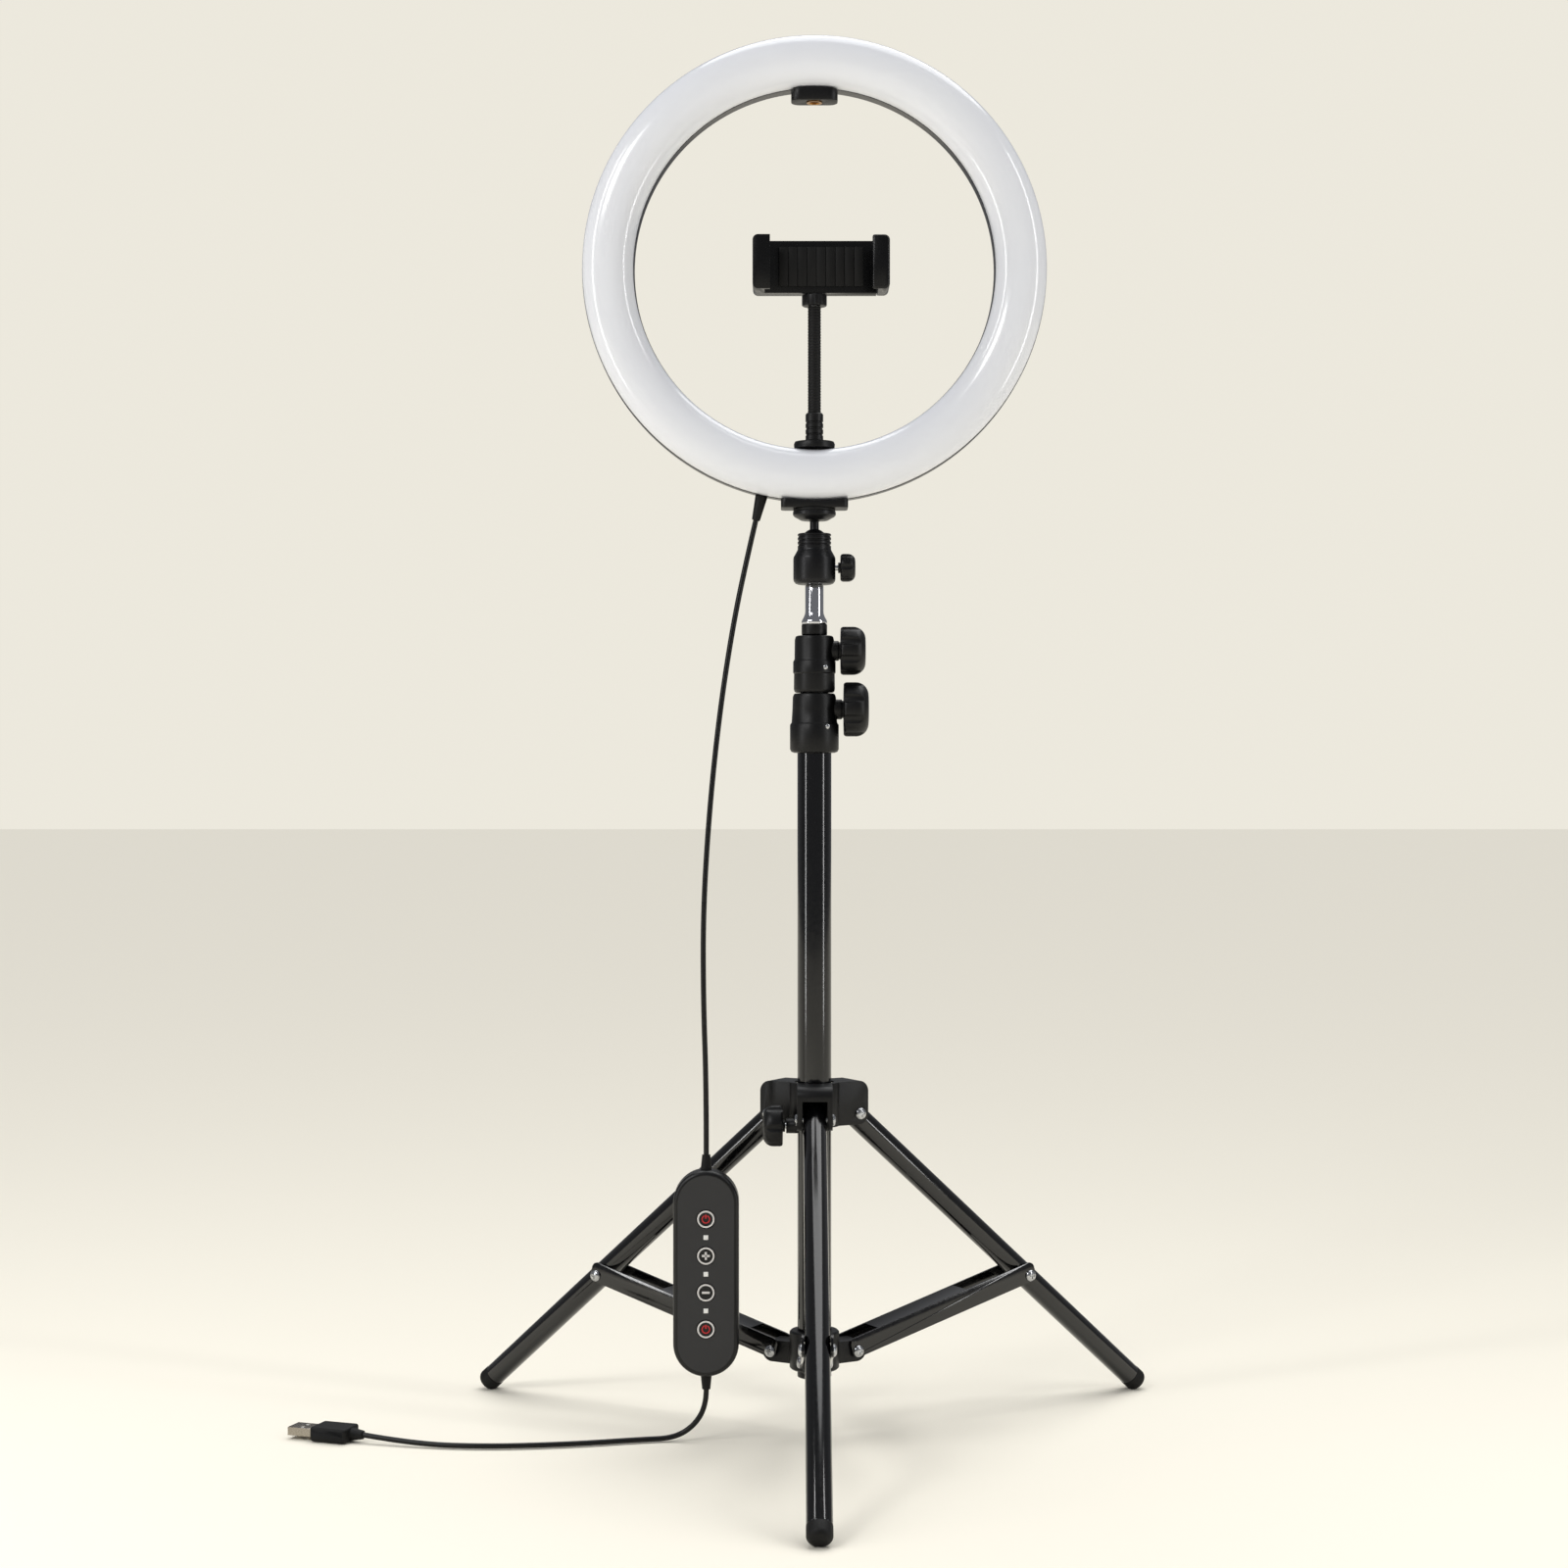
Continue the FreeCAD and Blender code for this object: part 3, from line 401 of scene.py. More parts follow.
def softened(node_name: str, name: str, corner: float, angle: float = 30.0) -> bpy.types.Object:
    """A merged copy of a CAD node with its sharp edges rounded as a mould would leave them.

    Args:
        node_name: the CAD node.
        name: the new piece's name.
        corner: the rounding's radius in metres.
        angle: edges sharper than this many degrees are rounded.

    Returns:
        The finished object.
    """
    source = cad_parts[node_name]
    obj = bpy.data.objects.new(name, source.data.copy())
    bpy.context.scene.collection.objects.link(obj)
    obj.data.materials.clear()
    activate(obj)
    bpy.ops.object.mode_set(mode="EDIT")
    bpy.ops.mesh.select_all(action="SELECT")
    bpy.ops.mesh.remove_doubles(threshold=2e-6)
    bpy.ops.mesh.dissolve_limited(angle_limit=math.radians(0.8))
    bpy.ops.object.mode_set(mode="OBJECT")
    if corner:
        apply_modifier(
            obj, "BEVEL", width=corner, segments=2, limit_method="ANGLE",
            angle_limit=math.radians(angle), use_clamp_overlap=True,
        )
    return finish_mesh(obj, 40.0)


def cut_away(obj: bpy.types.Object, cutter: bpy.types.Object) -> None:
    """Cut one mesh out of another and delete the cutter.

    Args:
        obj: the mesh that is cut.
        cutter: the shape that is taken out of it.
    """
    apply_modifier(obj, "BOOLEAN", object=cutter, operation="DIFFERENCE", solver="EXACT")
    bpy.data.objects.remove(cutter)


def cross_recess(head: bpy.types.Object, at: Point, side: int, reach: float, floor: float) -> None:
    """Cut a driver's cross into a screw's head that faces along Y.

    Args:
        head: the screw's head.
        at: the middle of the head's seat.
        side: which way the head faces, -1 or 1.
        reach: half the length of the cross's arms.
        floor: how far the bottom of the cross lies from the seat.
    """
    slot, depth = 0.35 * MM, 2.5 * MM
    near = at[1] + side * floor
    far = near + side * depth
    for wide, tall in ((slot, reach), (reach, slot)):
        low = (at[0] - wide, min(near, far), at[2] - tall)
        high = (at[0] + wide, max(near, far), at[2] + tall)
        cut_away(head, slab("recess", low, high, 0.1 * MM, 1))


def joined(pieces: list[bpy.types.Object], name: str) -> bpy.types.Object:
    """Join several meshes into the first.

    Args:
        pieces: the meshes, with at least one.
        name: the result's name.

    Returns:
        The joined object.
    """
    activate(pieces[0])
    for piece in pieces[1:]:
        piece.select_set(True)
    bpy.ops.object.join()
    pieces[0].name = name
    return pieces[0]


def dress(obj: bpy.types.Object, finish: Finish, body: str, slot: str, *nodes: str) -> bpy.types.Object:
    """Give a piece its material and body, and hide the CAD nodes that it stands for.

    Args:
        obj: the piece.
        finish: its material.
        body: the body that it rides on.
        slot: not used.
        nodes: the CAD nodes that it replaces.

    Returns:
        The same piece.
    """
    obj.data.materials.clear()
    obj.data.materials.append(finish.make())
    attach(obj, body)
    if nodes:
        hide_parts(*nodes)
    LOG.info("%s rides on %s, %s", obj.name, body, finish.name)
    return obj


def repaint(finish: Finish, *nodes: str) -> None:
    """Give CAD nodes that stay as they are their own material.

    Args:
        finish: the material.
        nodes: the CAD nodes' names.
    """
    for name in nodes:
        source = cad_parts[name]
        source.data.materials.clear()
        source.data.materials.append(finish.make())


# ---------------------------------------------------------------- the light
@dataclass
class LightRing:
    """Ring-shaped lamp: opal front, black shell behind, fittings on its rim."""

    body: str = "head"
    skin: float = 2.0 * MM
    width: float = 29.0 * MM
    bend: float = 4.0 * MM
    step: float = 0.5 * MM
    shoulder: float = -4.0 * MM
    side_gap: float = 0.3 * MM
    screw_circle: float = 115.5 * MM
    screw_count: int = 6
    steps: int = 160

    def __post_init__(self) -> None:
        """Read the ring's place and size from the frame."""
        low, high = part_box("rear_housing")
        self.centre = ((low.x + high.x) / 2, 0.0, (low.z + high.z) / 2)
        self.outer = (high.z - low.z) / 2
        self.back = high.y
        self.join = low.y
        self.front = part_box("diffuser")[0].y
        self.hole = self.outer - self.width

    def diffuser(self) -> None:
        """Domed opal cover, a half-round moulding with a straight skirt."""
        mid = (self.outer + self.hole) / 2
        half = (self.outer - self.hole) / 2 - self.side_gap
        base = -self.shoulder
        crown = self.shoulder - self.front
        outline: Outline = [(mid + half, -self.join), (mid + half, base)]
        for i in range(1, 28):
            turn = math.pi * i / 28
            outline.append((mid + half * math.cos(turn), base + crown * math.sin(turn) ** 0.92))
        outline += [(mid - half, base), (mid - half, -self.join)]
        piece = lathe("diffuser_dome", outline, self.centre, (0, -1, 0), self.steps)
        dress(piece, OPAL_ACRYLIC, self.body, "diffuser_plastic", "diffuser")

    def shell(self) -> None:
        """Black channel behind the cover, with a shallow step round its back."""
        outer, hole, back, join = self.outer, self.hole, self.back, self.join
        bend, skin, sunk = self.bend, self.skin, self.back - self.step
        outline: Outline = [(outer, join)]
        for i in range(7):
            turn = math.pi / 2 * i / 6
            outline.append((outer - bend + bend * math.cos(turn), back - bend + bend * math.sin(turn)))
        outline += [(outer - 6 * MM, back), (outer - 6.6 * MM, sunk)]
        outline += [(hole + 6.6 * MM, sunk), (hole + 6 * MM, back)]
        for i in range(7):
            turn = math.pi / 2 * (1 + i / 6)
            outline.append((hole + bend + bend * math.cos(turn), back - bend + bend * math.sin(turn)))
        outline += [(hole, join), (hole + skin, join), (hole + skin, back - skin)]
        outline += [(outer - skin, back - skin), (outer - skin, join)]
        piece = lathe("rear_shell", outline, self.centre, (0, 1, 0), self.steps)
        dress(piece, ABS_SATIN, self.body, "housing_plastic", "rear_housing")

    def screws(self) -> None:
        """Pan-head screws with a cross recess in the back of the shell."""
        outline = mm((0, -0.5), (2.8, -0.5), (2.8, 0.5), (2.3, 1.1), (1.2, 1.4), (0, 1.4))
        heads = []
        for i in range(self.screw_count):
            turn = math.radians(360 / self.screw_count * i)
            x = self.centre[0] + self.screw_circle * math.cos(turn)
            z = self.centre[2] + self.screw_circle * math.sin(turn)
            head = lathe(f"screw_{i}", outline, (x, self.back, z), (0, 1, 0), 24)
            cross_recess(head, (x, self.back, z), 1, 1.5 * MM, 0.5 * MM)
            heads.append(head)
        dress(joined(heads, "shell_screws"), NICKEL, self.body, "steel", "housing_screws")

    def fittings(self) -> None:
        """Top boss with its insert, base bracket, ferrule and lead boot."""
        boss = softened("top_boss", "top_fitting", 0.8 * MM)
        dress(boss, ABS_BLACK, self.body, "housing_plastic", "top_boss")
        dress(self.insert(), BRASS, self.body, "brass", "brass_insert")
        foot = softened("base_bracket", "base_foot", 0.7 * MM)
        dress(foot, ABS_BLACK, self.body, "housing_plastic", "base_bracket")
        dress(self.ferrule(), ABS_BLACK, self.body, "housing_plastic", "neck_ferrule")
        boot = softened("lead_boot", "lead_boot_soft", 0.3 * MM)
        dress(boot, RUBBER, self.body, "rubber", "lead_boot")

    def insert(self) -> bpy.types.Object:
        """Brass bush with its thread drawn as rings.

        Returns:
            The finished bush.
        """
        low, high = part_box("brass_insert")
        tall = high.z - low.z
        outside, root, crest, turns = 4.35 * MM, 3.1 * MM, 2.6 * MM, 8
        outline: Outline = [(outside, 0), (outside, tall), (root, tall)]
        for i in range(turns):
            z = tall - (i + 0.5) * tall / turns
            outline += [(crest, z), (root, z - 0.4 * MM)]
        outline += [(root, 0)]
        return lathe("threaded_insert", outline, (0, 0, low.z), (0, 0, 1), 48)

    def ferrule(self) -> bpy.types.Object:
        """Flange and grooved ferrule at the foot of the gooseneck.

        Returns:
            The finished ferrule.
        """
        low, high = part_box("neck_ferrule")
        wide, groove = 4.95 * MM, 4.55 * MM
        base = low.z + 0.2 * MM
        flange = 554.7 * MM
        outline: Outline = [(0, base), (11.3 * MM, base + 0.6 * MM), (11.5 * MM, flange - 1.6 * MM)]
        outline += [(10.9 * MM, flange - 0.3 * MM), (6.2 * MM, flange), (wide, flange + 0.8 * MM)]
        z = flange + 3.0 * MM
        for _ in range(3):
            outline += [(wide, z), (groove, z + 0.4 * MM), (groove, z + 0.9 * MM), (wide, z + 1.3 * MM)]
            z += 3.4 * MM
        outline += [(wide, high.z - 0.8 * MM), (4.3 * MM, high.z), (0, high.z)]
        return lathe("gooseneck_ferrule", outline, steps=64)

    def inside(self) -> None:
        """Board and chips behind the cover."""
        repaint(BOARD, "led_board")
        repaint(PHOSPHOR, "led_chips")

    def build(self) -> None:
        """Make every piece of the light."""
        self.diffuser()
        self.shell()
        self.screws()
        self.fittings()
        self.inside()


# ---------------------------------------------------------------- knobs
@dataclass
class Knob:
    """Moulded lock knob with scallops round its rim and a domed face."""

    name: str
    node: str
    body: str
    radius: float
    thick: float
    lobes: int
    notch: float
    axis: Point
    start: Point
    screw: tuple[float, float] = (0.0, 0.0)
    neck: float = 2.2 * MM
    neck_radius: float = 4.9 * MM
    slot: str = "stand_plastic"

    def build(self) -> None:
        """Spin the body, cut its scallops and add its metal screw."""
        r, t = self.radius, self.thick
        outline: Outline = [(0, -self.neck), (self.neck_radius, -self.neck), (self.neck_radius, 0)]
        outline += [(r * 0.6, 0.05 * MM), (r - 1.0 * MM, 0.1 * MM), (r - 0.3 * MM, 0.6 * MM), (r, 1.6 * MM)]
        for i in range(11):
            turn = math.pi / 2 * i / 10
            rim = r * (0.52 + 0.48 * math.cos(turn))
            outline.append((rim, t * (0.5 + 0.5 * math.sin(turn)) - 0.02 * MM))
        dish = t - 0.9 * MM
        outline += [(r * 0.38, t - 0.2 * MM), (r * 0.34, dish), (0, dish)]
        knob = lathe(self.name, outline, steps=96)
        for i in range(self.lobes):
            turn = 2 * math.pi * (i + 0.5) / self.lobes
            at = r + self.notch * 0.55
            cutter = lathe(
                "scallop",
                [(0, -1 * MM), (self.notch, -1 * MM), (self.notch, t + 1 * MM), (0, t + 1 * MM)],
                (at * math.cos(turn), at * math.sin(turn), 0), (0, 0, 1), 24,
            )
            cut_away(knob, cutter)
        apply_modifier(
            knob, "BEVEL", width=0.35 * MM, segments=2, limit_method="ANGLE", angle_limit=math.radians(40)
        )
        knob.matrix_world = Matrix.Translation(self.start) @ aim(self.axis)
        finish_mesh(knob)
        dress(knob, ABS_BLACK, self.body, self.slot, self.node)
        if self.screw[1]:
            length, width = self.screw
            thread: Outline = [(0, 0.5 * MM)]
            thread += rounded(0, -length, width, 0.5 * MM, 0.3 * MM)[1:-1][::-1]
            thread += [(0, -length)]
            shank = lathe(self.name + "_screw", thread, self.start, self.axis, 32)
            dress(shank, NICKEL, self.body, "steel")


# ---------------------------------------------------------------- ball head and mast
@dataclass
class BallHead:
    """Small ball head with a ribbed neck on a plated spigot."""

    knob_radius: float = 7.8 * MM
    centre_mm: float = 498.4
    ball_mm: float = 7.5
    socket_mm: float = 7.55

    def housing(self) -> None:
        """Anodised housing: body, cone and ribbed neck."""
        ring, groove = 9.35 * MM, 8.9 * MM
        outline = mm((3.2, 474.7), (9.4, 474.7), (10.6, 475.2), (11.5, 476.3), (11.8, 477.6))
        outline += mm((11.8, 489.0), (11.6, 490.0), (9.6, 493.6), (9.35, 494.2))
        z = 494.9 * MM
        for _ in range(3):
            outline += [(ring, z), (ring, z + 1.2 * MM), (groove, z + 1.5 * MM), (groove, z + 2.0 * MM)]
            z += 2.35 * MM
        outline += [(ring, z)] + mm((9.35, 502.6), (9.0, 503), (6.39, 503))
        for i in range(6):
            turn = math.radians(37.5 - 7.5 * i)
            across = self.socket_mm * math.cos(turn)
            outline += mm((across, self.centre_mm + self.socket_mm * math.sin(turn)))
        outline += mm((self.socket_mm, 488), (3.2, 488))
        housing = lathe("ball_head_housing", outline)
        dress(housing, ANODISED, "ball_head", "black_metal", "ball_housing")
        repaint(NYLON, "ball_seat")

    def ball(self) -> None:
        """Polished ball, stem and platform in one turned piece, under a rubber pad."""
        outline: Outline = []
        for i in range(14):
            turn = math.radians(-90 + i * 160 / 13)
            across = self.ball_mm * math.cos(turn) if i else 0.0
            outline += mm((across, self.centre_mm + self.ball_mm * math.sin(turn)))
        outline += mm((2.5, 506), (2.5, 509.6), (3.4, 510.5), (7.6, 510.5))
        outline += mm((11.2, 512.5), (12, 513.4), (12, 515.2), (11.7, 515.5), (0, 515.5))
        dress(lathe("ball_and_platform", outline), ANODISED, "head", "black_metal", "ball_stud")
        pad = lathe("platform_pad", rounded(0, 515.5 * MM, 11.8 * MM, 517.0 * MM, 0.4 * MM))
        dress(pad, RUBBER, "head", "rubber")

    def spigot(self) -> None:
        """Chrome spigot that flares to the mast's cap."""
        outline = mm((0, 452.5), (6.9, 452.5), (7.1, 452.8), (7.1, 454.0))
        for i in range(6):
            part = i / 5
            outline += mm((6.9 - 1.8 * math.sin(part * math.pi / 2), 454.6 + 5.0 * part))
        outline += mm((5.1, 473.6), (4.7, 474.5), (3.1, 474.5), (3.1, 481), (0, 481.5))
        dress(lathe("plated_spigot", outline), CHROME, "inner_mast", "chrome", "spigot")

    def build(self) -> None:
        """Make the ball head, its knob and the spigot."""
        self.housing()
        self.ball()
        self.spigot()
        Knob(
            "ball_lock_knob", "ball_knob", "ball_lock", self.knob_radius,
            thick=8.4 * MM, lobes=6, notch=2.2 * MM, axis=(1, 0, 0), start=(14.5 * MM, 0, 484 * MM),
            screw=(8.0 * MM, 1.65 * MM), neck=1.2 * MM, neck_radius=3.0 * MM,
        ).build()


@dataclass
class Mast:
    """Telescopic mast with two clamps."""

    lower_knob: float = 15.2 * MM
    upper_knob: float = 13.5 * MM
    cap_base: float = 446.2 * MM

    def tube(self, node_name: str, name: str, body: str, radius: float, bore: float) -> None:
        """One enamelled tube with rolled ends.

        Args:
            node_name: the CAD node that gives its ends.
            name: the piece's name.
            body: the body that it rides on.
            radius: outer radius.
            bore: inner radius.
        """
        low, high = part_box(node_name)
        tube = lathe(name, rounded(bore, low.z, radius, high.z, 0.3 * MM), steps=96)
        dress(tube, ENAMEL_BLACK, body, "black_tube", node_name)

    def inner(self) -> None:
        """Innermost tube with its moulded cap."""
        low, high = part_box("inner_tube")
        tube = lathe("inner_mast_tube", rounded(5.6 * MM, low.z, 6.4 * MM, self.cap_base, 0.2 * MM))
        dress(tube, ENAMEL_BLACK, "inner_mast", "black_tube", "inner_tube")
        cap = lathe("inner_mast_cap", rounded(0, self.cap_base, 7.15 * MM, high.z, 0.7 * MM))
        dress(cap, ABS_BLACK, "inner_mast", "stand_plastic")

    def clamps(self) -> None:
        """Moulded clamps, each with a small rivet in front."""
        lower = [(9.5, 380.4), (11.3, 380.4), (12.9, 381.0), (13.65, 382.4), (13.65, 396.0), (13.2, 396.8)]
        lower += [(12.75, 397.4), (12.3, 405.0), (12.1, 411.6), (11.5, 413.2), (10.8, 413.6), (9.5, 413.6)]
        upper = [(7.9, 414.2), (10.6, 414.2), (11.2, 414.8), (11.5, 416.0), (11.4, 424.6), (11.9, 425.2)]
        upper += [(11.9, 431.4), (11.5, 432.0), (11.1, 433.0), (11.0, 443.6), (10.5, 445.4), (9.6, 445.9)]
        upper += [(7.9, 445.9)]
        for node_name, body, x, z, boss_z, radius, outline_mm in (
            ("lower_clamp", "column", 7.0, 395.0, 404.75, 13.6, lower),
            ("upper_clamp", "middle_mast", 5.9, 428.0, 437.5, 11.9, upper),
        ):
            name = node_name + "_body"
            bore = outline_mm[0][0]
            piece = lathe(name, mm(*outline_mm), steps=96)
            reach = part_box(node_name)[1].x
            boss = rounded(2.9 * MM, 0, 5.6 * MM, reach - (bore + 0.8) * MM, 0.6 * MM)
            collar = lathe("boss", boss, ((bore + 0.8) * MM, 0, boss_z * MM), (1, 0, 0), 48)
            dress(joined([piece, collar], name), ABS_BLACK, body, "stand_plastic", node_name)
            face = -math.sqrt(radius ** 2 - x ** 2) * MM
            outline = mm((0, -1.0), (1.35, -1.0), (1.35, 0.1), (0.9, 0.45), (0, 0.5))
            rivet = lathe(name + "_rivet", outline, (x * MM, face, z * MM), (0, -1, 0), 24)
            dress(rivet, NICKEL, body, "steel")

    def build(self) -> None:
        """Make the tubes, clamps and knobs."""
        self.tube("outer_column", "column_tube", "column", 9.5 * MM, 8.6 * MM)
        self.tube("middle_tube", "middle_mast_tube", "middle_mast", 7.9 * MM, 7.1 * MM)
        self.inner()
        self.clamps()
        repaint(NYLON, "inner_bush", "middle_bush", "hub_bush")
        Knob(
            "lower_lock_knob", "lower_clamp_knob", "lower_knob", self.lower_knob,
            thick=14 * MM, lobes=8, notch=3.4 * MM, axis=(1, 0, 0), start=(16.35 * MM, 0, 404.75 * MM),
            screw=(8.0 * MM, 2.5 * MM),
        ).build()
        Knob(
            "upper_lock_knob", "upper_clamp_knob", "upper_knob", self.upper_knob,
            thick=14 * MM, lobes=8, notch=3.2 * MM, axis=(1, 0, 0), start=(14.6 * MM, 0, 437.5 * MM),
            screw=(7.8 * MM, 2.5 * MM),
        ).build()


# ---------------------------------------------------------------- tripod
@dataclass
class Tripod:
    """Sliding hub, three tube legs, channel braces and the lower collar."""

    headings: tuple[int, int, int] = (270, 30, 150)
    lean: float = 49.05
    hinge: tuple[float, float] = (24.5 * MM, 178 * MM)
    collar_pin: tuple[float, float] = (24.0 * MM, 44.5 * MM)
    leg_pin: float = 155.6 * MM
    leg_end: float = 258.8 * MM
    leg_radius: float = 6.5 * MM
    leg_wall: float = 1.0 * MM
    hub_fork: float = 9.8 * MM
    collar_fork: float = 8.3 * MM
    brace_fork: float = 8.1 * MM

    def turned(self, obj: bpy.types.Object, heading: int) -> bpy.types.Object:
        """Turn a piece drawn along +X to a leg's heading."""
        obj.matrix_world = Matrix.Rotation(math.radians(heading), 4, "Z") @ obj.matrix_world
        return finish_mesh(obj)

    def along_leg(self, distance: float) -> Point:
        """Point on the leg's centre line along +X, from its hinge."""
        lean = math.radians(self.lean)
        return self.hinge[0] + distance * math.sin(lean), 0.0, self.hinge[1] - distance * math.cos(lean)

    def leg_axis(self) -> Point:
        """Direction from the hinge to the foot along +X."""
        lean = math.radians(self.lean)
        return math.sin(lean), 0.0, -math.cos(lean)

    def legs(self) -> None:
        """Enamelled tubes and their rubber caps."""
        r = self.leg_radius
        for index, heading in enumerate(self.headings, 1):
            outline = rounded(r - self.leg_wall, -7 * MM, r, self.leg_end, 0.35 * MM)
            tube = lathe(f"leg_tube_{index}", outline, self.along_leg(0), self.leg_axis(), 64)
            dress(self.turned(tube, heading), ENAMEL_BLACK, f"leg_{index}", "black_tube", f"leg_{index}")
            cap = softened(f"foot_cap_{index}", f"leg_foot_{index}", 0.25 * MM)
            dress(cap, RUBBER, f"leg_{index}", "rubber", f"foot_cap_{index}")

    def bolt_head(self, name: str, at: Point, side: int) -> bpy.types.Object:
        """A domed head with a cross recess, on one side of a fork along +X.

        Args:
            name: the piece's name.
            at: the middle of the head's seat.
            side: which way it faces along Y, -1 or 1.

        Returns:
            The finished head.
        """
        outline = mm((0, 0), (3.2, 0), (3.25, 0.5), (2.8, 1.2), (1.6, 1.7), (0, 1.8))
        head = lathe(name, outline, at, (0, side, 0), 32)
        cross_recess(head, at, side, 1.7 * MM, 1.0 * MM)
        return head

    def bolt_row(self, name: str, at: tuple[float, float], half: float) -> list[bpy.types.Object]:
        """Both heads of a hinge bolt along +X."""
        return [self.bolt_head(f"{name}_{side}", (at[0], side * half, at[1]), side) for side in (-1, 1)]

    def bolts(self) -> None:
        """Heads of the hub's, the collar's and the legs' bolts."""
        for name, at, half, body, node_name in (
            ("hub_bolt_heads", self.hinge, self.hub_fork, "hub", "hub_bolts"),
            ("collar_bolt_heads", self.collar_pin, self.collar_fork, "column", "collar_bolts"),
        ):
            shank: Outline = [(0, -half), (1.6 * MM, -half), (1.6 * MM, half), (0, half)]
            heads = []
            for heading in self.headings:
                row = self.bolt_row(name, at, half)
                row.append(lathe(name + "_pin", shank, (at[0], 0, at[1]), (0, 1, 0), 24))
                heads += [self.turned(piece, heading) for piece in row]
            dress(joined(heads, name), NICKEL, body, "steel", node_name)
        x, _, z = self.along_leg(self.leg_pin)
        for index, heading in enumerate(self.headings, 1):
            row = self.bolt_row("leg_bolt", (x, z), self.brace_fork)
            heads = [self.turned(piece, heading) for piece in row]
            dress(joined(heads, f"leg_bolt_heads_{index}"), NICKEL, f"brace_{index}", "steel")

    def build(self) -> None:
        """Make every piece of the tripod."""
        for node_name, name, corner, body in (
            ("hub", "leg_hub", 0.9 * MM, "hub"),
            ("lower_collar", "brace_collar", 0.7 * MM, "column"),
            ("column_end_cap", "column_foot_plug", 0.6 * MM, "column"),
        ):
            dress(softened(node_name, name, corner), ABS_BLACK, body, "stand_plastic", node_name)
        for index in range(1, 4):
            piece = softened(f"brace_{index}", f"brace_channel_{index}", 0.35 * MM)
            dress(piece, ENAMEL_BLACK, f"brace_{index}", "black_tube", f"brace_{index}")
        self.legs()
        self.bolts()
        Knob(
            "hub_lock_knob", "hub_knob", "hub_lock", 11.4 * MM, thick=11 * MM, lobes=6, notch=2.8 * MM,
            axis=(-1, 0, 0), start=(-17.6 * MM, -14.6 * MM, 173.6 * MM),
            screw=(6.3 * MM, 1.65 * MM), neck=1.2 * MM, neck_radius=3.4 * MM,
        ).build()


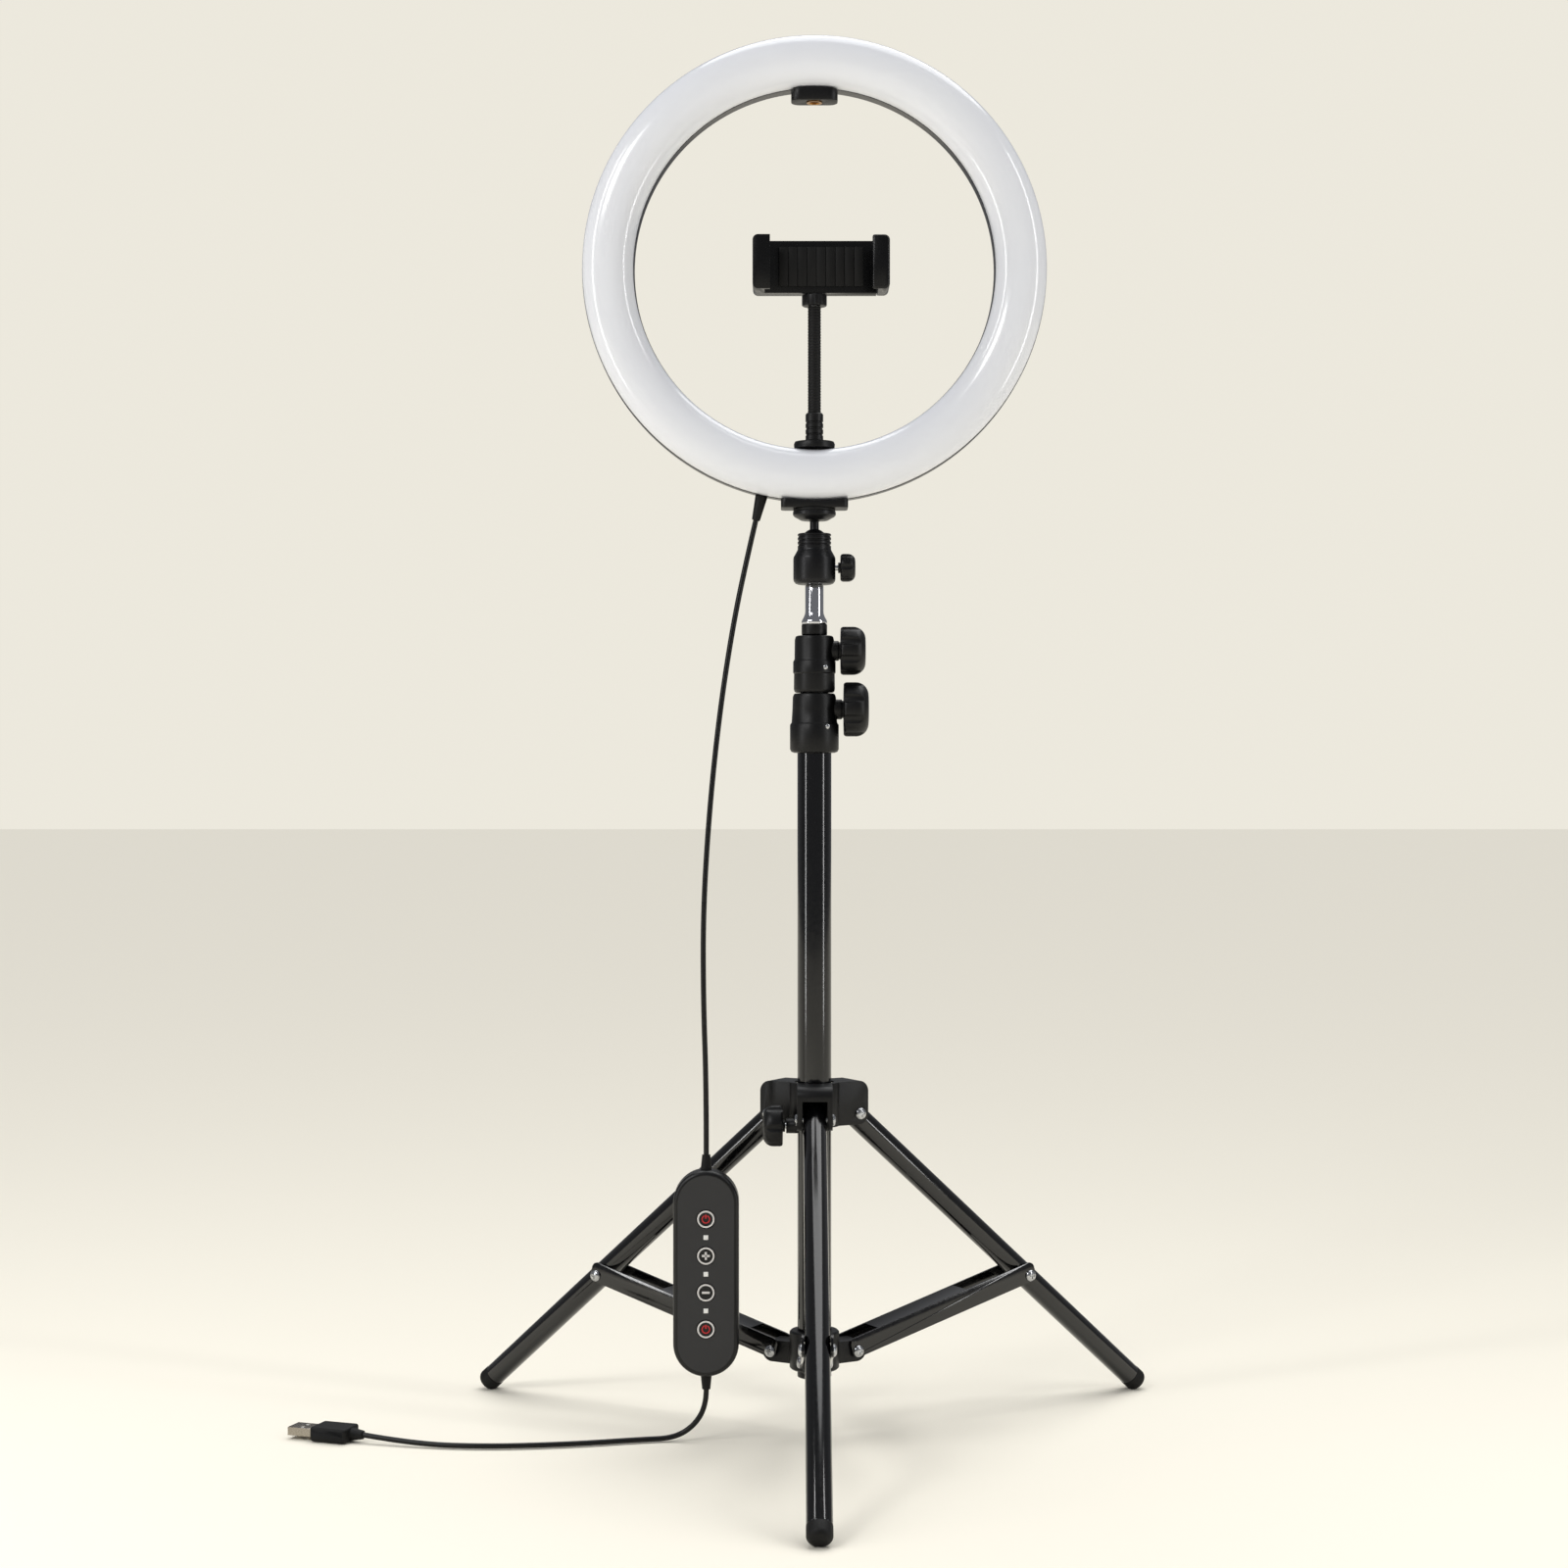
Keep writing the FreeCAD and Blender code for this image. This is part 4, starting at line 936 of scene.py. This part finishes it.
# ---------------------------------------------------------------- phone holder
@dataclass
class PhoneHolder:
    """Gooseneck with a spring-loaded phone clamp."""

    joints: tuple[float, float, float] = (571 * MM, 593 * MM, 615 * MM)
    top: float = 630 * MM
    radius: float = 3.65 * MM
    rib_pitch: float = 1.6 * MM
    stud_end: float = 642.4 * MM
    flutes: int = 12
    pad_y: tuple[float, float] = (-16 * MM, -6.8 * MM)
    jaw_pad_x: tuple[float, float] = (33.8 * MM, 35.1 * MM)

    def neck(self) -> None:
        """Ribbed sleeve in three stretches with ball ends at each bend."""
        ends = list(self.joints[1:]) + [self.top]
        for index, (base, top) in enumerate(zip(self.joints, ends), 1):
            r = self.radius
            low = base if index > 1 else base - 0.4 * MM
            outline: Outline = [(0, low - r * 0.8), (r * 0.6, low - r * 0.75), (r * 0.86, low - r * 0.45)]
            count = max(2, round((top - low) / self.rib_pitch))
            pitch = (top - low) / count
            for i in range(count):
                z = low + i * pitch
                outline += [(r - 0.22 * MM, z), (r, z + pitch * 0.3), (r, z + pitch * 0.7)]
            outline += [(r - 0.22 * MM, top), (0, top)]
            piece = lathe(f"gooseneck_sleeve_{index}", outline, steps=48)
            dress(piece, RUBBER, f"neck_{index}", "gooseneck_cover", f"gooseneck_{index}")
        stud = lathe("gooseneck_stud", rounded(0, self.top, 2.5 * MM, self.stud_end, 0.3 * MM), steps=32)
        dress(stud, NICKEL, "neck_3", "steel")

    def nut(self) -> None:
        """Knurled lock nut under the holder."""
        low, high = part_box("holder_nut")
        nut = lathe("holder_lock_nut", rounded(2.6 * MM, low.z, 7.0 * MM, high.z, 0.8 * MM))
        for i in range(self.flutes):
            turn = 2 * math.pi * i / self.flutes
            at = (7.3 * MM * math.cos(turn), 7.3 * MM * math.sin(turn), low.z - 1 * MM)
            cut_away(nut, lathe("flute", mm((0, 0), (0.75, 0), (0.75, 9), (0, 9)), at, steps=12))
        dress(finish_mesh(nut), ABS_BLACK, "nut", "housing_plastic", "holder_nut")

    def clamp(self) -> None:
        """Holder body, sliding jaw, pads and the raised rim in front."""
        back = softened("holder_body", "holder_back", 1.1 * MM)
        dress(back, ABS_SATIN, "holder", "holder_plastic", "holder_body")
        jaw = softened("holder_jaw", "sliding_jaw", 1.1 * MM)
        dress(jaw, ABS_SATIN, "jaw", "holder_plastic", "holder_jaw")
        pads = []
        for i in range(9):
            x = (-19.8 + i * 5.25) * MM
            low = (x, -6.1 * MM, 640.5 * MM)
            pads.append(slab("rib", low, (x + 5.0 * MM, -4.9 * MM, 662.5 * MM), 0.25 * MM, 2))
        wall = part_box("holder_pads")[0].x
        pads += self.side_ribs(wall, wall + 1.2 * MM)
        dress(joined(pads, "holder_grip_pads"), RUBBER, "holder", "rubber", "holder_pads")
        dress(joined(self.side_ribs(*self.jaw_pad_x), "jaw_grip_pad"), RUBBER, "jaw", "rubber")
        repaint(NICKEL, "holder_spring")

    def side_ribs(self, left: float, right: float) -> list[bpy.types.Object]:
        """Five flat rubber ribs, one above another, on the inside of a jaw.

        Args:
            left: their lower X.
            right: their higher X.

        Returns:
            The ribs.
        """
        ribs = []
        for i in range(5):
            z = (640.2 + 4.75 * i) * MM
            low, high = (left, self.pad_y[0], z), (right, self.pad_y[1], z + 4.5 * MM)
            ribs.append(slab("rib", low, high, 0.25 * MM, 2))
        return ribs

    def build(self) -> None:
        """Make every piece of the holder."""
        self.neck()
        self.nut()
        self.clamp()


# ---------------------------------------------------------------- controller, lead and plug
class Icon(Enum):
    """What a button shows."""

    POWER = "power"
    PLUS = "plus"
    MINUS = "minus"


@dataclass
class Controller:
    """Hand controller in the lead: two-part case and four round buttons."""

    icons: tuple[Icon, ...] = (Icon.POWER, Icon.PLUS, Icon.MINUS, Icon.POWER)
    border: float = 2.6 * MM
    proud: float = 0.12 * MM
    lens_half: float = 1.35 * MM
    lens_pitch: float = 20.2 * MM
    button_hole: float = 5.3 * MM
    mark_half: float = 2.2 * MM
    mark_thin: float = 0.62 * MM

    def __post_init__(self) -> None:
        """Read the case's place from the frame."""
        low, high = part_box("controller_front")
        self.low, self.high = low, high
        self.x = (low.x + high.x) / 2
        self.z = (low.z + high.z) / 2
        self.face = low.y

    def case(self) -> None:
        """Both half shells, their boots and board, and the indicator windows."""
        repaint(ABS_CONTROLLER_EDGE, "controller_front", "controller_back")
        repaint(RUBBER, "controller_boots")
        repaint(BOARD, "controller_board")
        lenses = self.windows("lens", self.face - 0.15 * MM, self.face + 1.6 * MM, 0.25 * MM, 2)
        dress(joined(lenses, "indicator_lenses"), LENS_WHITE, "lead", "controller_plastic")

    def windows(
        self, name: str, front: float, back: float, corner: float, segments: int
    ) -> list[bpy.types.Object]:
        """A square block at each indicator window.

        Args:
            name: the blocks' name.
            front: their lower Y.
            back: their higher Y.
            corner: radius of their round edges.
            segments: facets across each round edge.

        Returns:
            The three blocks, the lowest first.
        """
        half = self.lens_half
        blocks = []
        for i in (-1, 0, 1):
            z = self.z + i * self.lens_pitch
            low, high = (self.x - half, front, z - half), (self.x + half, back, z + half)
            blocks.append(slab(name, low, high, corner, segments))
        return blocks

    def panel(self) -> None:
        """Printed face panel, with holes for the buttons and the windows."""
        half = (self.high.x - self.low.x) / 2 - self.border
        tall = (self.high.z - self.low.z) / 2 - self.border
        back = self.face + 0.4 * MM
        front = self.face - self.proud
        low = (self.x - half, front, self.z - tall)
        sheet = slab("controller_panel", low, (self.x + half, back, self.z + tall), 0.1 * MM, 1)
        outline: Outline = [(half, -2 * MM), (2 * half, -2 * MM), (2 * half, 2 * MM), (half, 2 * MM)]
        for end in (-1, 1):
            centre = (self.x, front, self.z + end * (tall - half))
            corner = lathe("corner", outline, centre, (0, 1, 0), 96)
            low = (self.x - 3 * half, front - 3 * MM, self.z - end * tall - 3 * half)
            high = (self.x + 3 * half, back + 3 * MM, self.z + end * (tall - half))
            low, high = tuple(map(min, low, high)), tuple(map(max, low, high))
            cut_away(corner, slab("straight_half", low, high, 0.01 * MM, 1))
            cut_away(sheet, corner)
        wide = self.button_hole
        for index in range(1, len(self.icons) + 1):
            low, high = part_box(f"button_{index}")
            at = (self.x, front - 1 * MM, (low.z + high.z) / 2)
            hole: Outline = [(0, 0), (wide, 0), (wide, 3 * MM), (0, 3 * MM)]
            cut_away(sheet, lathe("hole", hole, at, (0, 1, 0), 48))
        for window in self.windows("hole", front - 1 * MM, back + 1 * MM, 0.2 * MM, 1):
            cut_away(sheet, window)
        dress(finish_mesh(sheet), ABS_CONTROLLER, "lead", "controller_plastic")

    def icon(self, kind: Icon, z: float, front: float) -> bpy.types.Object:
        """A thin printed mark on a button's face.

        Args:
            kind: what the mark shows.
            z: its height.
            front: the Y of the button's face.

        Returns:
            The finished mark.
        """
        y0, y1 = front - self.proud, front + 0.3 * MM
        x, bar, thin = self.x, self.mark_half, self.mark_thin
        marks = []
        if kind in (Icon.PLUS, Icon.MINUS):
            marks.append(slab("bar", (x - bar, y0, z - thin), (x + bar, y1, z + thin), 0.1 * MM, 1))
        if kind is Icon.PLUS:
            marks.append(slab("bar", (x - thin, y0, z - bar), (x + thin, y1, z + bar), 0.1 * MM, 1))
        if kind is Icon.POWER:
            outline = mm((1.75, 0), (2.35, 0), (2.35, 0.4), (1.75, 0.4))
            ring = lathe("mark", outline, (x, y1, z), (0, -1, 0), 48)
            low = (x - 0.8 * MM, y0 - 1 * MM, z + 0.6 * MM)
            cut_away(ring, slab("gap", low, (x + 0.8 * MM, y1 + 1 * MM, z + 4 * MM), 0.05 * MM, 1))
            marks.append(ring)
            low = (x - thin * 0.7, y0, z + 0.3 * MM)
            marks.append(slab("bar", low, (x + thin * 0.7, y1, z + 2.6 * MM), 0.1 * MM, 1))
        return joined(marks, "mark")

    def buttons(self) -> None:
        """Dished buttons, each with a pale printed ring and its mark."""
        for index, kind in enumerate(self.icons, 1):
            low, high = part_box(f"button_{index}")
            z = (low.z + high.z) / 2
            front = low.y
            deep = high.y - low.y
            outline = mm((0, 0.2), (3.6, 0.05), (4.4, 0), (4.8, 0.1), (5.0, 0.4))
            outline += mm((5.0, 2.5), (6.2, 2.5), (6.2, 3.5), (5.0, 3.5)) + [(5.0 * MM, deep), (0, deep)]
            cap = lathe(f"button_cap_{index}", outline, (self.x, front, z), (0, 1, 0), 56)
            dress(cap, ABS_CONTROLLER_EDGE, f"button_{index}", "button_plastic", f"button_{index}")
            outline = mm((3.85, 0), (4.75, 0), (4.75, 0.4), (3.85, 0.4))
            band = lathe(f"button_ring_{index}", outline, (self.x, front - 0.1 * MM, z), (0, 1, 0), 56)
            dress(band, INK_PALE, f"button_{index}", "button_plastic")
            mark = self.icon(kind, z, front + 0.15 * MM)
            mark.name = f"button_mark_{index}"
            ink = INK_RED if kind is Icon.POWER else INK_PALE
            dress(mark, ink, f"button_{index}", "button_plastic")

    def build(self) -> None:
        """Make the case and the buttons."""
        self.case()
        self.panel()
        self.buttons()


@dataclass
class Lead:
    """Both stretches of the lead and the plug on its end."""

    diameter: float = 3.0 * MM
    upper: list[Point] = field(default_factory=lambda: [
        (-32.1, 2.0, 513.7),
        (-37.4, 2.0, 491.2),
        (-45.5, -2.0, 452.0),
        (-53.0, -7.0, 402.0),
        (-58.5, -12.0, 348.0),
        (-61.8, -15.5, 293.0),
        (-61.6, -17.4, 242.0),
        (-60.0, -18.0, 197.0),
        (-60.0, -18.0, 158.0),
    ])
    lower: list[Point] = field(default_factory=lambda: [
        (-60.0, -18.0, 28.5),
        (-60.0, -18.0, 19.5),
        (-66.6, -18.2, 8.1),
        (-78.0, -19.0, 1.5),
        (-97.0, -22.5, 1.5),
        (-133.0, -32.5, 1.5),
        (-178.0, -38.0, 1.5),
        (-218.0, -33.0, 1.5),
        (-249.0, -22.0, 4.0),
    ])

    def curve(self, name: str, route: list[Point]) -> bpy.types.Object:
        """A smooth cord along a route.

        Args:
            name: the curve's name.
            route: points in millimetres, from its start to its end.

        Returns:
            The curve object.
        """
        data = bpy.data.curves.new(name, "CURVE")
        data.dimensions = "3D"
        data.bevel_depth = self.diameter / 2
        data.bevel_resolution = 6
        data.resolution_u = 12
        data.use_fill_caps = True
        spline = data.splines.new("NURBS")
        spline.points.add(len(route) - 1)
        for point, place in zip(spline.points, route):
            point.co = (place[0] * MM, place[1] * MM, place[2] * MM, 1.0)
        spline.order_u = 3
        spline.use_endpoint_u = True
        obj = bpy.data.objects.new(name, data)
        bpy.context.scene.collection.objects.link(obj)
        return obj

    def cords(self) -> None:
        """The two stretches, each in place of its CAD node."""
        upper = self.curve("lead_to_controller", self.upper)
        dress(upper, PVC_JACKET, "lead", "lead_jacket", "lead_upper")
        lower = self.curve("lead_to_plug", self.lower)
        dress(lower, PVC_JACKET, "lead", "lead_jacket", "lead_lower")

    def plug(self) -> None:
        """Moulded grip, stamped shell and contact tongue."""
        grip = softened("usb_overmould", "plug_grip", 0.3 * MM, 45.0)
        dress(grip, RUBBER, "lead", "rubber", "usb_overmould")
        shell = softened("usb_shell", "plug_shell", 0.08 * MM)
        dress(shell, PLUG_STEEL, "lead", "plug_shell", "usb_shell")
        low = (24.5 * MM, -5.6 * MM, 0.1 * MM)
        tongue = slab("plug_tongue", low, (43.0 * MM, 5.6 * MM, 1.9 * MM), 0.2 * MM, 1)
        before, end = Vector(self.lower[-2]), Vector(self.lower[-1])
        turn = Matrix.Rotation(math.atan2(end.y - before.y, end.x - before.x), 4, "Z")
        tongue.matrix_world = Matrix.Translation(end * MM) @ turn
        dress(finish_mesh(tongue), LENS_WHITE, "lead", "plug_shell")

    def build(self) -> None:
        """Make the plug, then both cords."""
        self.plug()
        self.cords()


# ---------------------------------------------------------------- floor, lights and camera
@dataclass
class Studio:
    """Pale floor, soft lights and the camera."""

    distance: float = 1.497
    height: float = 0.363
    aside: float = -0.017
    lens: float = 61.4
    room: float = 0.22
    backdrop: float = 0.88
    lights_aim: float = 0.42

    def camera(self) -> None:
        """A level camera straight in front of the stand."""
        data = bpy.data.cameras.new("camera")
        data.lens = self.lens
        data.sensor_width = 36.0
        data.clip_end = 50.0
        camera = bpy.data.objects.new("camera", data)
        bpy.context.scene.collection.objects.link(camera)
        camera.location = (self.aside, -self.distance, self.height)
        camera.rotation_euler = (math.pi / 2, 0, 0)
        bpy.context.scene.camera = camera
        bpy.context.scene.view_settings.view_transform = "Standard"

    def light(self, name: str, place: Point, size: tuple[float, float], power: float) -> None:
        """A soft panel that faces the middle of the stand.

        Args:
            name: the light's name.
            place: where it stands.
            size: its width and height in metres.
            power: its power in watts.
        """
        data = bpy.data.lights.new(name, "AREA")
        data.shape = "RECTANGLE"
        data.size, data.size_y = size
        data.energy = power
        lamp = bpy.data.objects.new(name, data)
        bpy.context.scene.collection.objects.link(lamp)
        lamp.location = place
        towards = Vector((0, 0, self.lights_aim)) - Vector(place)
        lamp.rotation_euler = towards.to_track_quat("-Z", "Y").to_euler()

    def floor(self) -> None:
        """A large pale floor that meets a background of the same tone."""
        clear_selection()
        just_below = (0, 0, -0.5 * MM)
        bpy.ops.mesh.primitive_plane_add(size=40.0, location=just_below)
        floor = bpy.context.object
        floor.name = "floor"
        material = bpy.data.materials.new("floor_paint")
        material.use_nodes = True
        shader = material.node_tree.nodes["Principled BSDF"]
        shader.inputs["Base Color"].default_value = linear("f4efe1")
        shader.inputs["Roughness"].default_value = 0.9
        shader.inputs["Specular IOR Level"].default_value = 0.1
        floor.data.materials.append(material)
        world = bpy.data.worlds.new("soft_room")
        world.use_nodes = True
        bpy.context.scene.world = world
        tree = world.node_tree
        room = tree.nodes["Background"]
        room.inputs["Color"].default_value = linear("f1f3f8")
        room.inputs["Strength"].default_value = self.room
        seen = node(tree, "ShaderNodeBackground", {"Color": linear("faf6ea"), "Strength": self.backdrop})
        path = node(tree, "ShaderNodeLightPath")
        pick = {0: path.outputs["Is Camera Ray"], 1: room.outputs[0], 2: seen.outputs[0]}
        mix = node(tree, "ShaderNodeMixShader", pick)
        tree.links.new(mix.outputs[0], tree.nodes["World Output"].inputs["Surface"])

    def build(self) -> None:
        """Set the camera, the floor and the lights."""
        self.camera()
        self.floor()
        self.light("key", (-1.2, -1.5, 1.6), (0.5, 0.5), 11.0)
        self.light("strip_left", (-1.0, -0.55, 0.75), (0.08, 1.3), 4.5)
        self.light("strip_right", (1.05, -0.5, 0.75), (0.08, 1.3), 4.5)
        sun = bpy.data.lights.new("soft_sky", "SUN")
        sun.energy = 2.1
        sun.angle = math.radians(60)
        sky = bpy.data.objects.new("soft_sky", sun)
        bpy.context.scene.collection.objects.link(sky)
        sky.rotation_euler = (math.radians(-18), math.radians(8), 0)


def main() -> None:
    """Build every sub-assembly."""
    logging.basicConfig(level=logging.INFO, format="%(name)s: %(message)s")
    Studio().build()
    Controller().build()
    Lead().build()
    LightRing().build()
    BallHead().build()
    Mast().build()
    Tripod().build()
    PhoneHolder().build()


if __name__ == "__main__":
    main()
